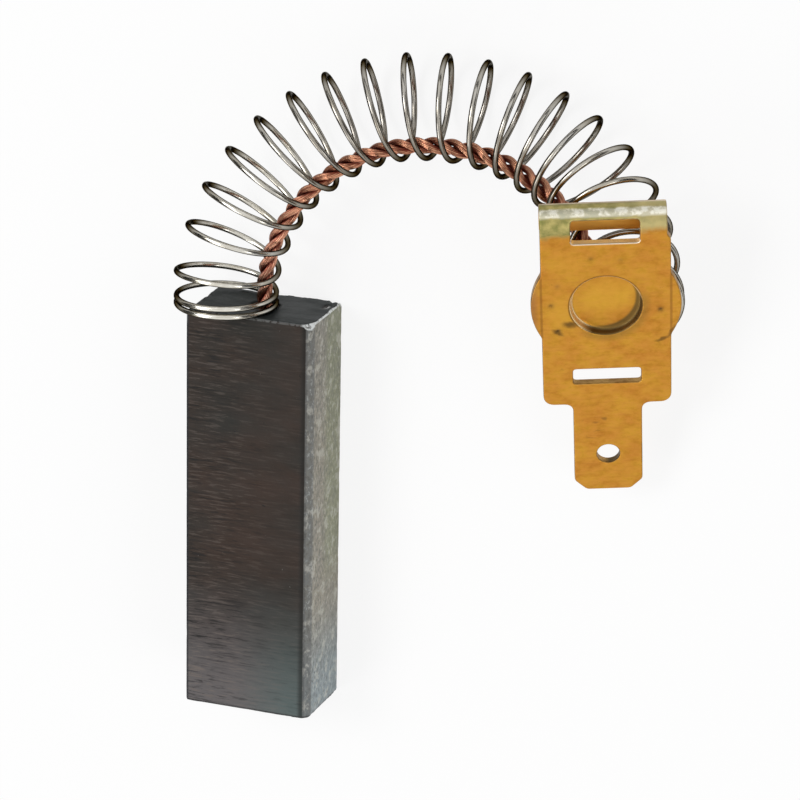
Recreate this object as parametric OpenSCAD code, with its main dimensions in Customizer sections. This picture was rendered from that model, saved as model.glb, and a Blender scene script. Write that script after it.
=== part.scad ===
// Carbon brush with a coil spring, a twisted copper shunt and a folded brass terminal.
// The block rests on its broad face with its length along Y, and its contact face looks
// towards -Y. The spring leaves the other end face, arches over and carries the terminal.

/* [Carbon block] */
// Width of the block across its broad face
block_w = 12.7; // [11:0.1:16]
// Thickness of the block
block_t = 8; // [7.9:0.1:10]
// Length of the block from the contact face to the spring face
block_l = 40; // [20:0.5:60]
// Bevel along the edges of the block
block_bevel = 0.25; // [0.1:0.05:0.5]
// Radius of the one rounded long edge
round_edge_r = 1; // [0.6:0.1:1.5]
// Diameter of the blind hole that takes the shunt
shunt_hole_d = 2.8; // [2.2:0.1:3.2]
// Depth of the shunt hole
shunt_hole_depth = 8; // [5:0.5:12]

/* [Shunt] */
// Diameter of one strand of the shunt
strand_d = 0.65; // [0.5:0.01:0.68]
// Length of one full turn of the lay
lay_length = 5.5; // [4.5:0.1:9]
// Gap left between neighbouring strands
strand_gap = 0.07; // [0.06:0.01:0.1]
// How far the lay opens near the terminal, as a share of its radius
lay_opening = 0.3; // [0:0.05:0.35]
// Radial clearance round the shunt in the plug and in the solder
shunt_clearance = 0.05; // [0.03:0.01:0.1]

/* [Spring] */
// Diameter of the spring wire
wire_d = 0.55; // [0.4:0.01:0.6]
// Outer diameter of the coils
spring_od = 10; // [9.5:0.05:10.1]
// Number of open turns
open_turns = 18.4; // [16:0.1:19]
// Number of closed turns at each end
closed_turns = 1.5; // [1:0.25:2]
// Gap between two closed turns
closed_gap = 0.06; // [0.04:0.01:0.15]
// Sideways offset of the spring's seat from the middle of the block's end face
seat_offset_x = -3.4; // [-3.6:0.05:-3.3]
// Height of the spring's seat above the middle of the block's end face
seat_offset_z = 1.2; // [1.1:0.05:1.4]

/* [Terminal plate] */
// Thickness of the brass sheet
sheet_t = 0.8; // [0.6:0.05:0.9]
// Width of the plate
plate_w = 11.7; // [11:0.1:12.5]
// Distance from the boss to the shoulders of the tab
shoulder_y = 11.2; // [10:0.1:13]
// Distance from the boss to the start of the folded hook
hook_y = 8.3; // [8.1:0.1:9]
// Outer radius of the folded hook
hook_r = 1.7; // [1.5:0.05:1.75]
// Straight length of the leaf that the hook turns back
hook_leaf = 1.7; // [0.5:0.1:1.8]
// How much narrower the hook is than the plate, at its +X end
hook_step = 0.3; // [0:0.05:0.5]
// Corner radius of the plate
plate_corner_r = 0.9; // [0.3:0.1:1.5]
// Fillet radius where the tab meets the shoulders
tab_fillet_r = 0.7; // [0.3:0.1:1]

/* [Connector tab] */
// Width of the connector tab
tab_w = 6.3; // [5:0.1:6.5]
// Length of the tab from the shoulders
tab_l = 10.1; // [8:0.1:11]
// Size of the bevelled corners at the end of the tab
tab_bevel = 1.1; // [0.5:0.1:1.5]
// Diameter of the detent hole in the tab
tab_hole_d = 2.1; // [1.5:0.1:2.4]
// Distance from the end of the tab to the middle of its hole
tab_hole_inset = 4.2; // [3.5:0.1:5]

/* [Slots] */
// Length of both slots across the plate
slot_l = 6.2; // [5:0.1:7]
// Height of the lower slot
slot_h = 1.7; // [1.2:0.1:2]
// Distance from the boss down to the middle of the lower slot
slot_y = 8; // [7.5:0.1:8.5]
// Corner radius of the slots
slot_corner_r = 0.25; // [0.1:0.05:0.5]
// Distance from the boss up to the near edge of the upper slot
upper_slot_y = 6.9; // [6.7:0.1:7.5]
// Angle round the hook at which the upper slot ends
upper_slot_angle = 37; // [25:1:50]

/* [Ears and pressed boss] */
// Diameter of the round ears at both sides of the plate
ear_d = 13.6; // [13:0.1:15]
// Diameter of the pressed recess at the front of the plate
recess_d = 6.4; // [5.5:0.1:6.8]
// Depth of the recess
recess_depth = 0.8; // [0.5:0.05:0.9]
// Wall of the boss that the recess pushes out behind the plate
boss_wall = 0.5; // [0.4:0.05:0.6]
// Distance of the stake marks from the middle of the boss
stake_r = 5; // [4.6:0.1:5.3]
// Diameter of a stake mark
stake_d = 0.6; // [0.3:0.05:0.7]
// Depth of a stake mark
stake_depth = 0.25; // [0.1:0.05:0.35]

/* [Solder] */
// Diameter of the solder fillet at the foot of the shunt
solder_d = 2.9; // [2.6:0.1:3.2]
// Height of the solder fillet
solder_h = 0.9; // [0.5:0.1:1.2]

/* [Hidden] */

$fn = 72;
// How far a cut runs past the face that it opens
over = 1;
// Middle of the end face that the spring sits on; all that follows is measured from it
spring_face = [0, block_l / 2, block_t / 2];
// Middle of the boss on the plate's front face, and the turns that set the plate
terminal_at = [35.8, 6.6, 6.5];
terminal_turn = [20, 20, 3.5];
// Middle of the spring's last turn on the back of the boss, across and up the plate
boss_seat_x = 2.2;
boss_seat_y = -1.1;
// Points that shape the arch of the spring between its two seats
arch = [[-3.5, 3, 1.8], [-0.2, 13.4, 1.6], [10.6, 21.7, 1.5],
        [21.7, 22, 1], [28, 19.8, 1.1], [35.4, 15.2, 2.9]];
// How far the coils lean over the first part of the arch, and where the lean ends
coil_lean = 0.2;
lean_end = 0.55;
// Share of the arch after which the coils turn until they lie flat on the boss
facing_start = 0.66;
// How much wider the first open turns are than the last, as a share
pitch_bias = 0.13;
// Turn of the coil at the first open turn
first_coil_turn = 0.53;
// Flats round a swept wire, and rings along one turn
wire_sides = 6;
coil_steps = 16;
lay_steps = 10;
strand_count = 3;
// Angles of the stake marks round the boss
stake_angles = [-7, 75, 104, 152, 178, 212];
stake_tip_r = 0.05;
// Solid length of the plug below the ends of the strands
plug_floor = 2;
// Radial clearance between the plug and the hole
plug_clearance = 0.02;
// Straight length of the shunt outside the block and the solder
shunt_lead = 1.6;
// Clearance between the shunt and the inner side of the coils
shunt_room = 0.1;
// Lip of the solder round the shunt
solder_lip = 0.15;
solder_edge = 0.05;
// Gap between the ends of the strands and the faces they stop at
end_gap = 0.2;
// Stretch of the last closed turn that lies flat on its seat, in turns, and its clearance
flat_turn = 0.6;
seat_gap = 0.02;

wire_r = wire_d / 2;
coil_r = (spring_od - wire_d) / 2;
closed_pitch = wire_d + closed_gap;
closed_h = wire_r + seat_gap + closed_turns * closed_pitch;
all_turns = open_turns + 2 * closed_turns;
lay_r = (strand_d + strand_gap) / 2 / sin(180 / strand_count);
shunt_r = lay_r + strand_d / 2;
boss_r = recess_d / 2 + boss_wall;
boss_back = -sheet_t - recess_depth;
tab_end_y = -shoulder_y - tab_l;
tab_hole_y = tab_end_y + tab_hole_inset;

// ---------- vectors and curves ----------

function unit(v) = v / norm(v);
function smooth(x) = let (c = min(max(x, 0), 1)) c * c * (3 - 2 * c);
function turned(v, a) =
    let (x = [[1, 0, 0], [0, cos(a[0]), -sin(a[0])], [0, sin(a[0]), cos(a[0])]],
         y = [[cos(a[1]), 0, sin(a[1])], [0, 1, 0], [-sin(a[1]), 0, cos(a[1])]],
         z = [[cos(a[2]), -sin(a[2]), 0], [sin(a[2]), cos(a[2]), 0], [0, 0, 1]])
    z * (y * (x * v));
function on_terminal(p) = terminal_at + turned(p, terminal_turn);

// Cubic B-spline that starts and ends at its first and last guide points
function spline_span(p, i, t) =
    (pow(1 - t, 3) * p[i] + (3 * pow(t, 3) - 6 * t * t + 4) * p[i + 1]
     + (-3 * pow(t, 3) + 3 * t * t + 3 * t + 1) * p[i + 2] + pow(t, 3) * p[i + 3]) / 6;
function spline(guides, steps) =
    let (n = len(guides),
         p = concat([2 * guides[0] - guides[1]], guides, [2 * guides[n - 1] - guides[n - 2]]))
    [for (k = [0 : steps * (n - 1)])
        let (i = min(floor(k / steps), n - 2)) spline_span(p, i, k / steps - i)];

// Length run along a line of points, one value for each point
function run_along(p) =
    [for (i = 0, s = 0; i < len(p); s = i + 1 < len(p) ? s + norm(p[i + 1] - p[i]) : s, i = i + 1) s];
// Table of a line of points against the length run, and the place at a given length
function line_table(p) = let (s = run_along(p)) [for (k = [0 : 2]) [for (i = [0 : len(p) - 1]) [s[i], p[i][k]]]];
function place(table, s) = [for (k = [0 : 2]) lookup(s, table[k])];
// Directions square to a line that are carried along it without twisting
function carried(facing, first) =
    [for (i = 0, r = unit(first - (first * facing[0]) * facing[0]); i < len(facing);
          i = i + 1, r = i < len(facing) ? unit(r - (r * facing[i]) * facing[i]) : r) r];
function around(middle, a, b, r, angle) = middle + r * (cos(angle) * a + sin(angle) * b);

// ---------- the spring ----------

block_normal = [0, 1, 0];
boss_normal = turned([0, 0, 1], terminal_turn);
block_seat = [seat_offset_x, 0, seat_offset_z];
boss_seat = on_terminal([boss_seat_x, boss_seat_y, boss_back]);
arch_first = block_seat + closed_h * block_normal;
arch_last = boss_seat - closed_h * boss_normal;
arch_line = spline(concat([arch_first], arch, [arch_last]), 24);
arch_table = line_table(arch_line);
arch_l = run_along(arch_line)[len(arch_line) - 1];

// Rise of a closed end above its seat, a number of turns from the wire's tip
function closed_rise(t) =
    wire_r + seat_gap
    + closed_pitch * (t > 1 ? t : t > flat_turn ? (t - flat_turn) / (1 - flat_turn) : 0);

// Place of the coil's middle, a number of turns after the first open turn
function axis_at(turn) =
    turn < 0 ? block_seat + closed_rise(turn + closed_turns) * block_normal
    : turn > open_turns ? boss_seat - closed_rise(open_turns + closed_turns - turn) * boss_normal
    : let (u = turn / open_turns) place(arch_table, arch_l * (u + pitch_bias * u * (1 - u)));

// Direction that a coil faces: along the arch with a lean, and square to the faces at both ends
function facing_at(turn) =
    turn <= 0 ? block_normal
    : turn >= open_turns ? boss_normal
    : let (u = turn / open_turns,
           ahead = unit(axis_at(turn + 0.02) - axis_at(turn - 0.02)),
           away = smooth(turn),
           share = smooth((u - facing_start) / (1 - facing_start)),
           lean = coil_lean * sin(180 * min(u / lean_end, 1)))
      unit((1 - away) * block_normal
           + away * ((1 - share) * ahead + share * boss_normal - [0, 0, lean]));

coil_count = round(all_turns * coil_steps);
coil_turn = [for (i = [0 : coil_count]) all_turns * i / coil_count - closed_turns];
coil_middle = [for (t = coil_turn) axis_at(t)];
coil_facing = [for (t = coil_turn) facing_at(t)];
coil_out = carried(coil_facing, [-1, 0, 0]);
coil_side = [for (i = [0 : coil_count]) cross(coil_facing[i], coil_out[i])];
function in_coil(i, r, angle) = around(coil_middle[i], coil_out[i], coil_side[i], r, angle);
spring_line = [for (i = [0 : coil_count]) in_coil(i, coil_r, 360 * (first_coil_turn + coil_turn[i]))];

// ---------- the shunt ----------

// Bearing and distance of the hole and of the solder from the middles of the end turns
function bearing(v, i) = (atan2(v * coil_side[i], v * coil_out[i]) + 360) % 360;
hole_at = [0, 0, 0];
solder_at = on_terminal([0, 0, boss_back]);
to_hole = hole_at - block_seat;
to_solder = solder_at - boss_seat;
hole_bearing = bearing(to_hole, 0);
solder_bearing = bearing(to_solder, coil_count);
// Distance from the middle of the coils at which the shunt lies against their inner side
inner_reach = coil_r - wire_r - lay_r * (1 + lay_opening) - strand_d / 2 - shunt_room;
hole_depth_used = shunt_hole_depth - plug_floor;

shunt_in_coils = [for (i = [round(2.5 * coil_steps) : coil_steps : coil_count - round(2.5 * coil_steps)])
    let (u = i / coil_count, leave = smooth(u * 5), arrive = smooth((u - 0.72) / 0.28),
         from_hole = norm(to_hole) + leave * (inner_reach - norm(to_hole)),
         r = from_hole + arrive * (norm(to_solder) - from_hole),
         a = hole_bearing + leave * (180 - hole_bearing) + arrive * (solder_bearing - 180))
    in_coil(i, r, a)];
shunt_line = spline(concat(
    [for (y = [hole_depth_used - end_gap, hole_depth_used / 2, 0, -shunt_lead]) hole_at - y * block_normal],
    shunt_in_coils,
    [for (h = [shunt_lead, solder_h, end_gap]) solder_at - h * boss_normal]), 8);
shunt_table = line_table(shunt_line);
shunt_l = run_along(shunt_line)[len(shunt_line) - 1];
shunt_count = round(shunt_l / lay_length * lay_steps);
shunt_middle = [for (i = [0 : shunt_count]) place(shunt_table, shunt_l * i / shunt_count)];
shunt_ahead = [for (i = [0 : shunt_count])
    unit(shunt_middle[min(i + 1, shunt_count)] - shunt_middle[max(i - 1, 0)])];
shunt_side = carried(shunt_ahead, [1, 0, 0]);
// The lay opens over the later part of the shunt and closes again before the solder
function lay_open(u) = 1 + lay_opening * smooth((u - 0.5) / 0.25) * (1 - smooth((u - 0.86) / 0.08));
function strand_line(k) = [for (i = [0 : shunt_count])
    let (u = i / shunt_count, angle = 360 * (u * shunt_l / lay_length + k / strand_count))
    around(shunt_middle[i], shunt_side[i], cross(shunt_ahead[i], shunt_side[i]),
           lay_r * lay_open(u), angle)];

// ---------- shapes used by the parts ----------

// Round wire swept along a line; one flat edge of it keeps towards the given directions
module wire(line, toward, r) {
    n = len(line);
    rings = [for (i = [0 : n - 1])
        let (ahead = unit(line[min(i + 1, n - 1)] - line[max(i - 1, 0)]),
             a = unit(toward[i] - (toward[i] * ahead) * ahead), b = cross(ahead, a))
        for (k = [0 : wire_sides - 1]) around(line[i], a, b, r, 360 * k / wire_sides)];
    walls = [for (i = [0 : n - 2], k = [0 : wire_sides - 1])
        let (p = i * wire_sides + k, q = i * wire_sides + (k + 1) % wire_sides)
        each [[p, p + wire_sides, q], [q, p + wire_sides, q + wire_sides]]];
    caps = [[for (k = [0 : wire_sides - 1]) k],
            [for (k = [wire_sides - 1 : -1 : 0]) (n - 1) * wire_sides + k]];
    polyhedron(rings, concat(walls, caps));
}

// Rectangle with bevelled corners, centred on the origin
module bevelled_rect(x, y, bevel) {
    polygon([[-x / 2 + bevel, -y / 2], [x / 2 - bevel, -y / 2], [x / 2, -y / 2 + bevel],
             [x / 2, y / 2 - bevel], [x / 2 - bevel, y / 2], [-x / 2 + bevel, y / 2],
             [-x / 2, y / 2 - bevel], [-x / 2, -y / 2 + bevel]]);
}

// Section of the block across its length, with one corner rounded
module block_section() {
    r = round_edge_r;
    difference() {
        bevelled_rect(block_w, block_t, block_bevel);
        translate([block_w / 2 - r, block_t / 2 - r]) square(r + over);
    }
    translate([block_w / 2 - r, block_t / 2 - r]) circle(r);
}

// Rectangle with round corners
module round_rect(x, y, r) {
    square([x - 2 * r, y], center = true);
    square([x, y - 2 * r], center = true);
    for (sx = [-1, 1], sy = [-1, 1]) translate([sx * (x / 2 - r), sy * (y / 2 - r)]) circle(r);
}

// Sheet of the terminal between the hook and the end of the tab
module plate_outline() {
    circle(d = ear_d);
    translate([0, (hook_y - shoulder_y) / 2]) {
        square([plate_w - 2 * plate_corner_r, hook_y + shoulder_y], center = true);
        translate([-plate_w / 2, -(hook_y + shoulder_y) / 2 + plate_corner_r])
            square([plate_w, hook_y + shoulder_y - plate_corner_r]);
    }
    for (s = [-1, 1]) {
        translate([s * (plate_w / 2 - plate_corner_r), -shoulder_y + plate_corner_r])
            circle(plate_corner_r);
        difference() {
            translate([s * (tab_w / 2 + tab_fillet_r / 2), -shoulder_y])
                square([tab_fillet_r, 2 * tab_fillet_r], center = true);
            translate([s * (tab_w / 2 + tab_fillet_r), -shoulder_y - tab_fillet_r]) circle(tab_fillet_r);
        }
    }
    polygon([[-tab_w / 2, -shoulder_y + over], [-tab_w / 2, tab_end_y + tab_bevel],
             [-tab_w / 2 + tab_bevel, tab_end_y], [tab_w / 2 - tab_bevel, tab_end_y],
             [tab_w / 2, tab_end_y + tab_bevel], [tab_w / 2, -shoulder_y + over]]);
}

// Folded hook, turning back behind the plate, with its short leaf
module hook() {
    hook_w = plate_w - hook_step;
    translate([-hook_step / 2, hook_y, -hook_r]) {
        intersection() {
            rotate([0, 90, 0]) difference() {
                cylinder(h = hook_w, r = hook_r, center = true);
                cylinder(h = hook_w + 2 * over, r = hook_r - sheet_t, center = true);
            }
            translate([-hook_w / 2, 0, -hook_r]) cube([hook_w, hook_r, 2 * hook_r]);
        }
        translate([-hook_w / 2, -hook_leaf, -hook_r]) cube([hook_w, hook_leaf, sheet_t]);
    }
}

// Room of the upper slot, which runs from the flat of the plate into the hook
module upper_slot() {
    reach = hook_r + over;
    translate([-slot_l / 2, upper_slot_y, -sheet_t - over / 4])
        cube([slot_l, hook_y - upper_slot_y + 0.01, sheet_t + over]);
    translate([0, hook_y, -hook_r]) rotate([90, 0, 90]) linear_extrude(slot_l, center = true)
        polygon([[0, hook_r - sheet_t - over / 4], [0, reach],
                 [reach * tan(upper_slot_angle), reach],
                 [(hook_r - sheet_t - over / 4) * tan(upper_slot_angle), hook_r - sheet_t - over / 4]]);
}

module on_spring_face() {
    translate(spring_face) children();
}

module on_plate() {
    translate(spring_face + terminal_at) rotate(terminal_turn) children();
}

// ---------- parts ----------

module carbon_block() {
    color([0.2, 0.2, 0.22]) difference() {
        translate([0, 0, block_t / 2]) intersection() {
            rotate([90, 0, 0]) linear_extrude(block_l, center = true) block_section();
            linear_extrude(block_t, center = true) bevelled_rect(block_w, block_l, block_bevel);
            rotate([90, 0, 90]) linear_extrude(block_w, center = true)
                bevelled_rect(block_l, block_t, block_bevel);
        }
        on_spring_face() rotate([90, 0, 0]) translate([0, 0, -over])
            cylinder(h = shunt_hole_depth + over, d = shunt_hole_d);
    }
}

module tamping_plug() {
    color([0.55, 0.33, 0.22]) on_spring_face() rotate([90, 0, 0]) difference() {
        cylinder(h = shunt_hole_depth, d = shunt_hole_d - 2 * plug_clearance);
        translate([0, 0, -over]) cylinder(h = hole_depth_used + over, r = shunt_r + shunt_clearance);
    }
}

module shunt_strand(k) {
    color([0.72, 0.35, 0.22]) on_spring_face() wire(strand_line(k), shunt_side, strand_d / 2);
}
module shunt_strand_1() { shunt_strand(0); }
module shunt_strand_2() { shunt_strand(1); }
module shunt_strand_3() { shunt_strand(2); }

module spring() {
    color([0.7, 0.7, 0.68]) on_spring_face() wire(spring_line, coil_facing, wire_r);
}

module terminal_plate() {
    color([0.8, 0.6, 0.25]) on_plate() difference() {
        union() {
            translate([0, 0, -sheet_t]) linear_extrude(sheet_t) plate_outline();
            hook();
            translate([0, 0, boss_back]) cylinder(h = recess_depth + sheet_t / 2, r = boss_r);
        }
        translate([0, 0, -recess_depth]) cylinder(h = recess_depth + over, d = recess_d);
        translate([0, -slot_y, -sheet_t - over]) linear_extrude(sheet_t + 2 * over)
            round_rect(slot_l, slot_h, slot_corner_r);
        upper_slot();
        translate([0, tab_hole_y, -sheet_t - over]) cylinder(h = sheet_t + 2 * over, d = tab_hole_d);
        for (a = stake_angles) rotate([0, 0, a]) translate([stake_r, 0, -stake_depth])
            cylinder(h = stake_depth + 0.01, r1 = stake_tip_r, r2 = stake_d / 2);
    }
}

module shunt_solder() {
    bore = shunt_r + shunt_clearance;
    reach = solder_d / 2 - bore - solder_lip;
    color([0.75, 0.75, 0.72]) on_plate() translate([0, 0, boss_back]) mirror([0, 0, 1]) rotate_extrude()
        polygon(concat([[bore, 0], [solder_d / 2, 0]],
                       [for (a = [0 : 15 : 90])
                           [solder_d / 2 - reach * sin(a), solder_edge + solder_h * (1 - cos(a))]],
                       [[bore, solder_edge + solder_h]]));
}

carbon_block();
tamping_plug();
shunt_strand_1();
shunt_strand_2();
shunt_strand_3();
spring();
terminal_plate();
shunt_solder();
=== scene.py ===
# %% [markdown]
# # A carbon brush with its spring, shunt and terminal
# A carbon brush carries current to the turning part of a motor. The block of pressed
# carbon slides in a holder, the spring pushes it on, and a soft copper shunt inside the
# spring takes the current to a brass terminal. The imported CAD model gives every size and
# place. This lesson dresses it with finer surfaces and finishes, one piece at a time.

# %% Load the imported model
import math

import bmesh
import bpy
import numpy as np
from mathutils import Matrix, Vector
from mathutils.geometry import delaunay_2d_cdt


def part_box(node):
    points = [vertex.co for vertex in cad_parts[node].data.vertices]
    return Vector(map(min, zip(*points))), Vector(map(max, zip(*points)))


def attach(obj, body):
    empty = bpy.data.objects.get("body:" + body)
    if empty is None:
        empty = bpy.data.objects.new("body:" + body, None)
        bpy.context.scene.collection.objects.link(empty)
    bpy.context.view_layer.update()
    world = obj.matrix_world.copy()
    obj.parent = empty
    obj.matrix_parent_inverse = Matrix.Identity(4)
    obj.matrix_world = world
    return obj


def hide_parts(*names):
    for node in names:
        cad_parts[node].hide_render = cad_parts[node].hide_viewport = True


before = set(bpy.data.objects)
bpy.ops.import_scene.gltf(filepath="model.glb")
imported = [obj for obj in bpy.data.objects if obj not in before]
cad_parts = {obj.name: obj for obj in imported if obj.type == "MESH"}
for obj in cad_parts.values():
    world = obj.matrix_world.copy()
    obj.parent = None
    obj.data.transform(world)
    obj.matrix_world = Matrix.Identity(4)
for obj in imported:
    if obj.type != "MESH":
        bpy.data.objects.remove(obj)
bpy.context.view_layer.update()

MM = 0.001
print("CAD nodes:", sorted(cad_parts))

# %% [markdown]
# ## Camera
# The brush lies flat and the camera looks down on it from its right and from beyond its
# spring end, through a long lens, so that lengths hardly shrink with distance. A camera
# looks along its own -Z, so the three columns of its matrix are its right, its up, and the
# way back from the object to the lens.

# %% The camera
scene = bpy.context.scene
CAMERA_SIDE = 0.35242       # angle to the right, radians
CAMERA_RISE = 0.34001       # angle towards the spring end
CAMERA_ROLL = 0.01816
CAMERA_REACH = 411.92 * MM
CAMERA_AIM = np.array([12.334, 10.944, 0]) * MM
SENSOR, FOCAL = 36, 194.966


def unit(v):
    """Each vector divided by its own length."""
    return v / np.linalg.norm(v, axis=-1, keepdims=True)


def linked(name, data):
    """New object with the given data, linked into the scene."""
    thing = bpy.data.objects.new(name, data)
    scene.collection.objects.link(thing)
    return thing


def stood(right, up, back, at):
    """Matrix of an object from its three directions and its place in metres."""
    turn = np.eye(4)
    turn[:3] = np.stack([right, up, back, at], 1)
    return Matrix(turn.tolist())


back = np.array([math.sin(CAMERA_SIDE) * math.cos(CAMERA_RISE), math.sin(CAMERA_RISE),
                 math.cos(CAMERA_SIDE) * math.cos(CAMERA_RISE)])
level = unit(np.cross((0, 1, 0), back))
upright = np.cross(back, level)
right = math.cos(CAMERA_ROLL) * level + math.sin(CAMERA_ROLL) * upright
up = -math.sin(CAMERA_ROLL) * level + math.cos(CAMERA_ROLL) * upright

camera_at = CAMERA_AIM + CAMERA_REACH * back
camera = linked("camera", bpy.data.cameras.new("camera"))
camera.data.lens, camera.data.sensor_width = FOCAL, SENSOR
camera.data.clip_start = 10 * MM
camera.matrix_world = stood(right, up, back, camera_at)
scene.camera = camera
print("camera at", np.round(camera_at / MM, 1).tolist(), "mm")

# %% [markdown]
# ## Tools for surfaces
# Every new piece below is worked out with numpy as whole arrays: either a grid of points
# that two numbers steer, or a profile carried along a path. These helpers turn the arrays
# into one closed mesh. Patches meet on the same points, so merging the doubles closes the
# seams between them.


# %% Numbers that vary smoothly
def smooth(x):
    """0 below 0, 1 above 1, and the S-curve x * x * (3 - 2 x) between them."""
    x = np.clip(x, 0, 1)
    return x * x * (3 - 2 * x)


WORD = 0xFFFFFFFF
CORNER_HASH, SEED_HASH = np.array([73856093, 19349663, 83492791]), 7919
STIRS = ((15, 2246822519), (13, 3266489917))


def cloud(points, cell, seed):
    """Smooth noise from -1 to 1: a hashed value at each corner of a lattice of cubes
    with the given cell size, blended inside each cube with S-curve weights."""
    q = np.asarray(points, float) / cell + 1000.0
    low = np.floor(q).astype(np.int64)
    part = smooth(q - low)
    total = np.zeros(len(q))
    for corner in np.ndindex(2, 2, 2):
        mixed = ((low + corner) @ CORNER_HASH + seed * SEED_HASH) & WORD
        for shift, factor in STIRS:
            mixed = ((mixed ^ (mixed >> shift)) * factor) & WORD
        value = (mixed ^ (mixed >> 16)) / (WORD >> 1) - 1
        total += value * np.prod(np.where(corner, part, 1 - part), axis=1)
    return total


print("noise at three points:", np.round(cloud(np.eye(3), 0.3, 1), 2).tolist())


# %% Grids and pieces
def spread(*columns):
    """Rows of points from columns that are first spread over each other."""
    return np.stack(np.broadcast_arrays(*columns), -1).reshape(-1, len(columns))


class Patches:
    """Collects patches of points in mm, with named values on the points, and makes a piece."""

    def __init__(self):
        self.points, self.faces, self.values, self.count = [], [], {}, 0

    def add(self, points, faces, flip=False, **values):
        """Adds points and their faces, which flip turns over, with values on the points."""
        self.faces.append((faces[:, ::-1] if flip else faces) + self.count)
        for name, value in values.items():
            self.values.setdefault(name, []).append(np.asarray(value, float))
        self.points.append(points)
        self.count += len(points)

    def grid(self, points, columns, flip=False, **values):
        """Adds a grid of points stored row by row, whose last column joins the first. Its
        faces turn outwards when rows x columns points outwards."""
        points = points.reshape(-1, 3)
        i, j = np.mgrid[:len(points) // columns - 1, :columns]
        a, b = i * columns + j, i * columns + (j + 1) % columns
        faces = np.stack([a, a + columns, b + columns, b], -1).reshape(-1, 4)
        self.add(points, faces, flip, **values)

    def piece(self, name, node, close=0.002):
        """One mesh of all patches, with points nearer than close (mm) merged."""
        mesh = bpy.data.meshes.new(name)
        points = np.concatenate(self.points) * MM
        faces = [face for block in self.faces for face in block.tolist()]
        mesh.from_pydata(points.tolist(), [], faces)
        for key, blocks in self.values.items():
            value = np.concatenate(blocks)
            kind = "FLOAT_VECTOR" if value.ndim == 2 else "FLOAT"
            layer = mesh.attributes.new(key, kind, "POINT")
            layer.data.foreach_set("vector" if value.ndim == 2 else "value",
                                   value.astype(np.float32).ravel())
        sheet = bmesh.new()
        sheet.from_mesh(mesh)
        bmesh.ops.remove_doubles(sheet, verts=sheet.verts, dist=close * MM)
        bmesh.ops.dissolve_degenerate(sheet, edges=sheet.edges, dist=1e-7)
        open_edges = sum(len(edge.link_faces) != 2 for edge in sheet.edges)
        volume = sheet.calc_volume(signed=True)
        sheet.to_mesh(mesh)
        sheet.free()
        mesh.polygons.foreach_set("use_smooth", np.ones(len(mesh.polygons), bool))
        thing = linked(name, mesh)
        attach(thing, "root")
        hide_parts(node)
        print(f"{name}: {len(mesh.polygons)} faces, {open_edges} open edges, "
              f"{volume / MM ** 3:.1f} mm3")


# %% [markdown]
# ## The carbon block
# The block is pressed from carbon powder and ground to size. One long edge is rounded, the
# others are sharp and crumble into small chips. A box with a Bevel modifier would have
# perfect edges, so the section is carried along the block instead, both end faces are
# filled with rings, and a rule then pushes every point near an edge inwards by a width
# that noise makes uneven.

# %% Sizes of the block
block_low, block_high = (np.array(corner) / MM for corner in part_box("carbon_block"))
BLOCK_W, BLOCK_L, BLOCK_T = block_high - block_low
GUIDE_R = 1.0               # the rounded long edge
HOLE_R, HOLE_DEPTH = 1.4, 8.0
COARSE, CLOSE = 0.34, 14    # step between stations in mm, and how many more there are
END_RINGS, RING_CROWD = 26, 1.7
print("block", np.round([BLOCK_W, BLOCK_L, BLOCK_T], 2).tolist(), "mm")


# %% Section of the block
def steps_between(a, b):
    """Stations from a to b that are close together near both ends and wider between: even
    steps t, less a share of sin(turn * t) / turn, where turn is a full circle."""
    length = abs(b - a)
    t = np.linspace(0, 1, round(length / COARSE) + CLOSE + 1)
    crowd = min(0.75, 2.2 / length)
    return a + (b - a) * (t - crowd * np.sin(math.tau * t) / math.tau)


def arc(x, y, r, start, end, count=9):
    """Points on a circle between two angles in degrees."""
    a = np.radians(np.linspace(start, end, count))
    return spread(x + r * np.cos(a), y + r * np.sin(a))


def block_section():
    """Closed line round the section in x and z, counted from the middle of the resting
    face: four straight sides, and a quarter circle in place of the +X +Z corner."""
    x, z, r = BLOCK_W / 2, BLOCK_T, GUIDE_R
    sides = [spread(steps_between(-x, x), 0), spread(x, steps_between(0, z - r)),
             arc(x - r, z - r, r, 0, 90, 13), spread(steps_between(x - r, -x), z),
             spread(-x, steps_between(z, 0))]
    return np.concatenate([side[:-1] for side in sides])


def depth_in_section(x, z):
    """Distance from a point to the nearest side of the section, going inwards."""
    depth = np.minimum(np.minimum(BLOCK_W / 2 - x, x + BLOCK_W / 2), np.minimum(z, BLOCK_T - z))
    cx, cz = x - (BLOCK_W / 2 - GUIDE_R), z - (BLOCK_T - GUIDE_R)
    return np.where((cx > 0) & (cz > 0), GUIDE_R - np.hypot(cx, cz), depth)


section = block_section()
print("section has", len(section), "points")


# %% Chipped edges
def chip_width(p, even, uneven, chips, seed):
    """Width of the broken edge: an even part, an uneven part, and sparse deeper chips."""
    deep = np.maximum(cloud(p, 1.1, seed) - 0.32, 0) * chips
    return even + uneven * cloud(p, 0.32, seed + 1) + deep * (1 + 0.5 * cloud(p, 0.25, seed + 2))


def push(p, first, second, a, b, width):
    """Where a + b, the depths behind two faces, is less than the width, the point moves
    inwards along both faces' normals by half of what is missing."""
    short = np.maximum(width - a - b, 0)[:, None] / 2
    return p + short * (first + second), short[:, 0] * 2 / np.maximum(width, 0.01)


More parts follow.
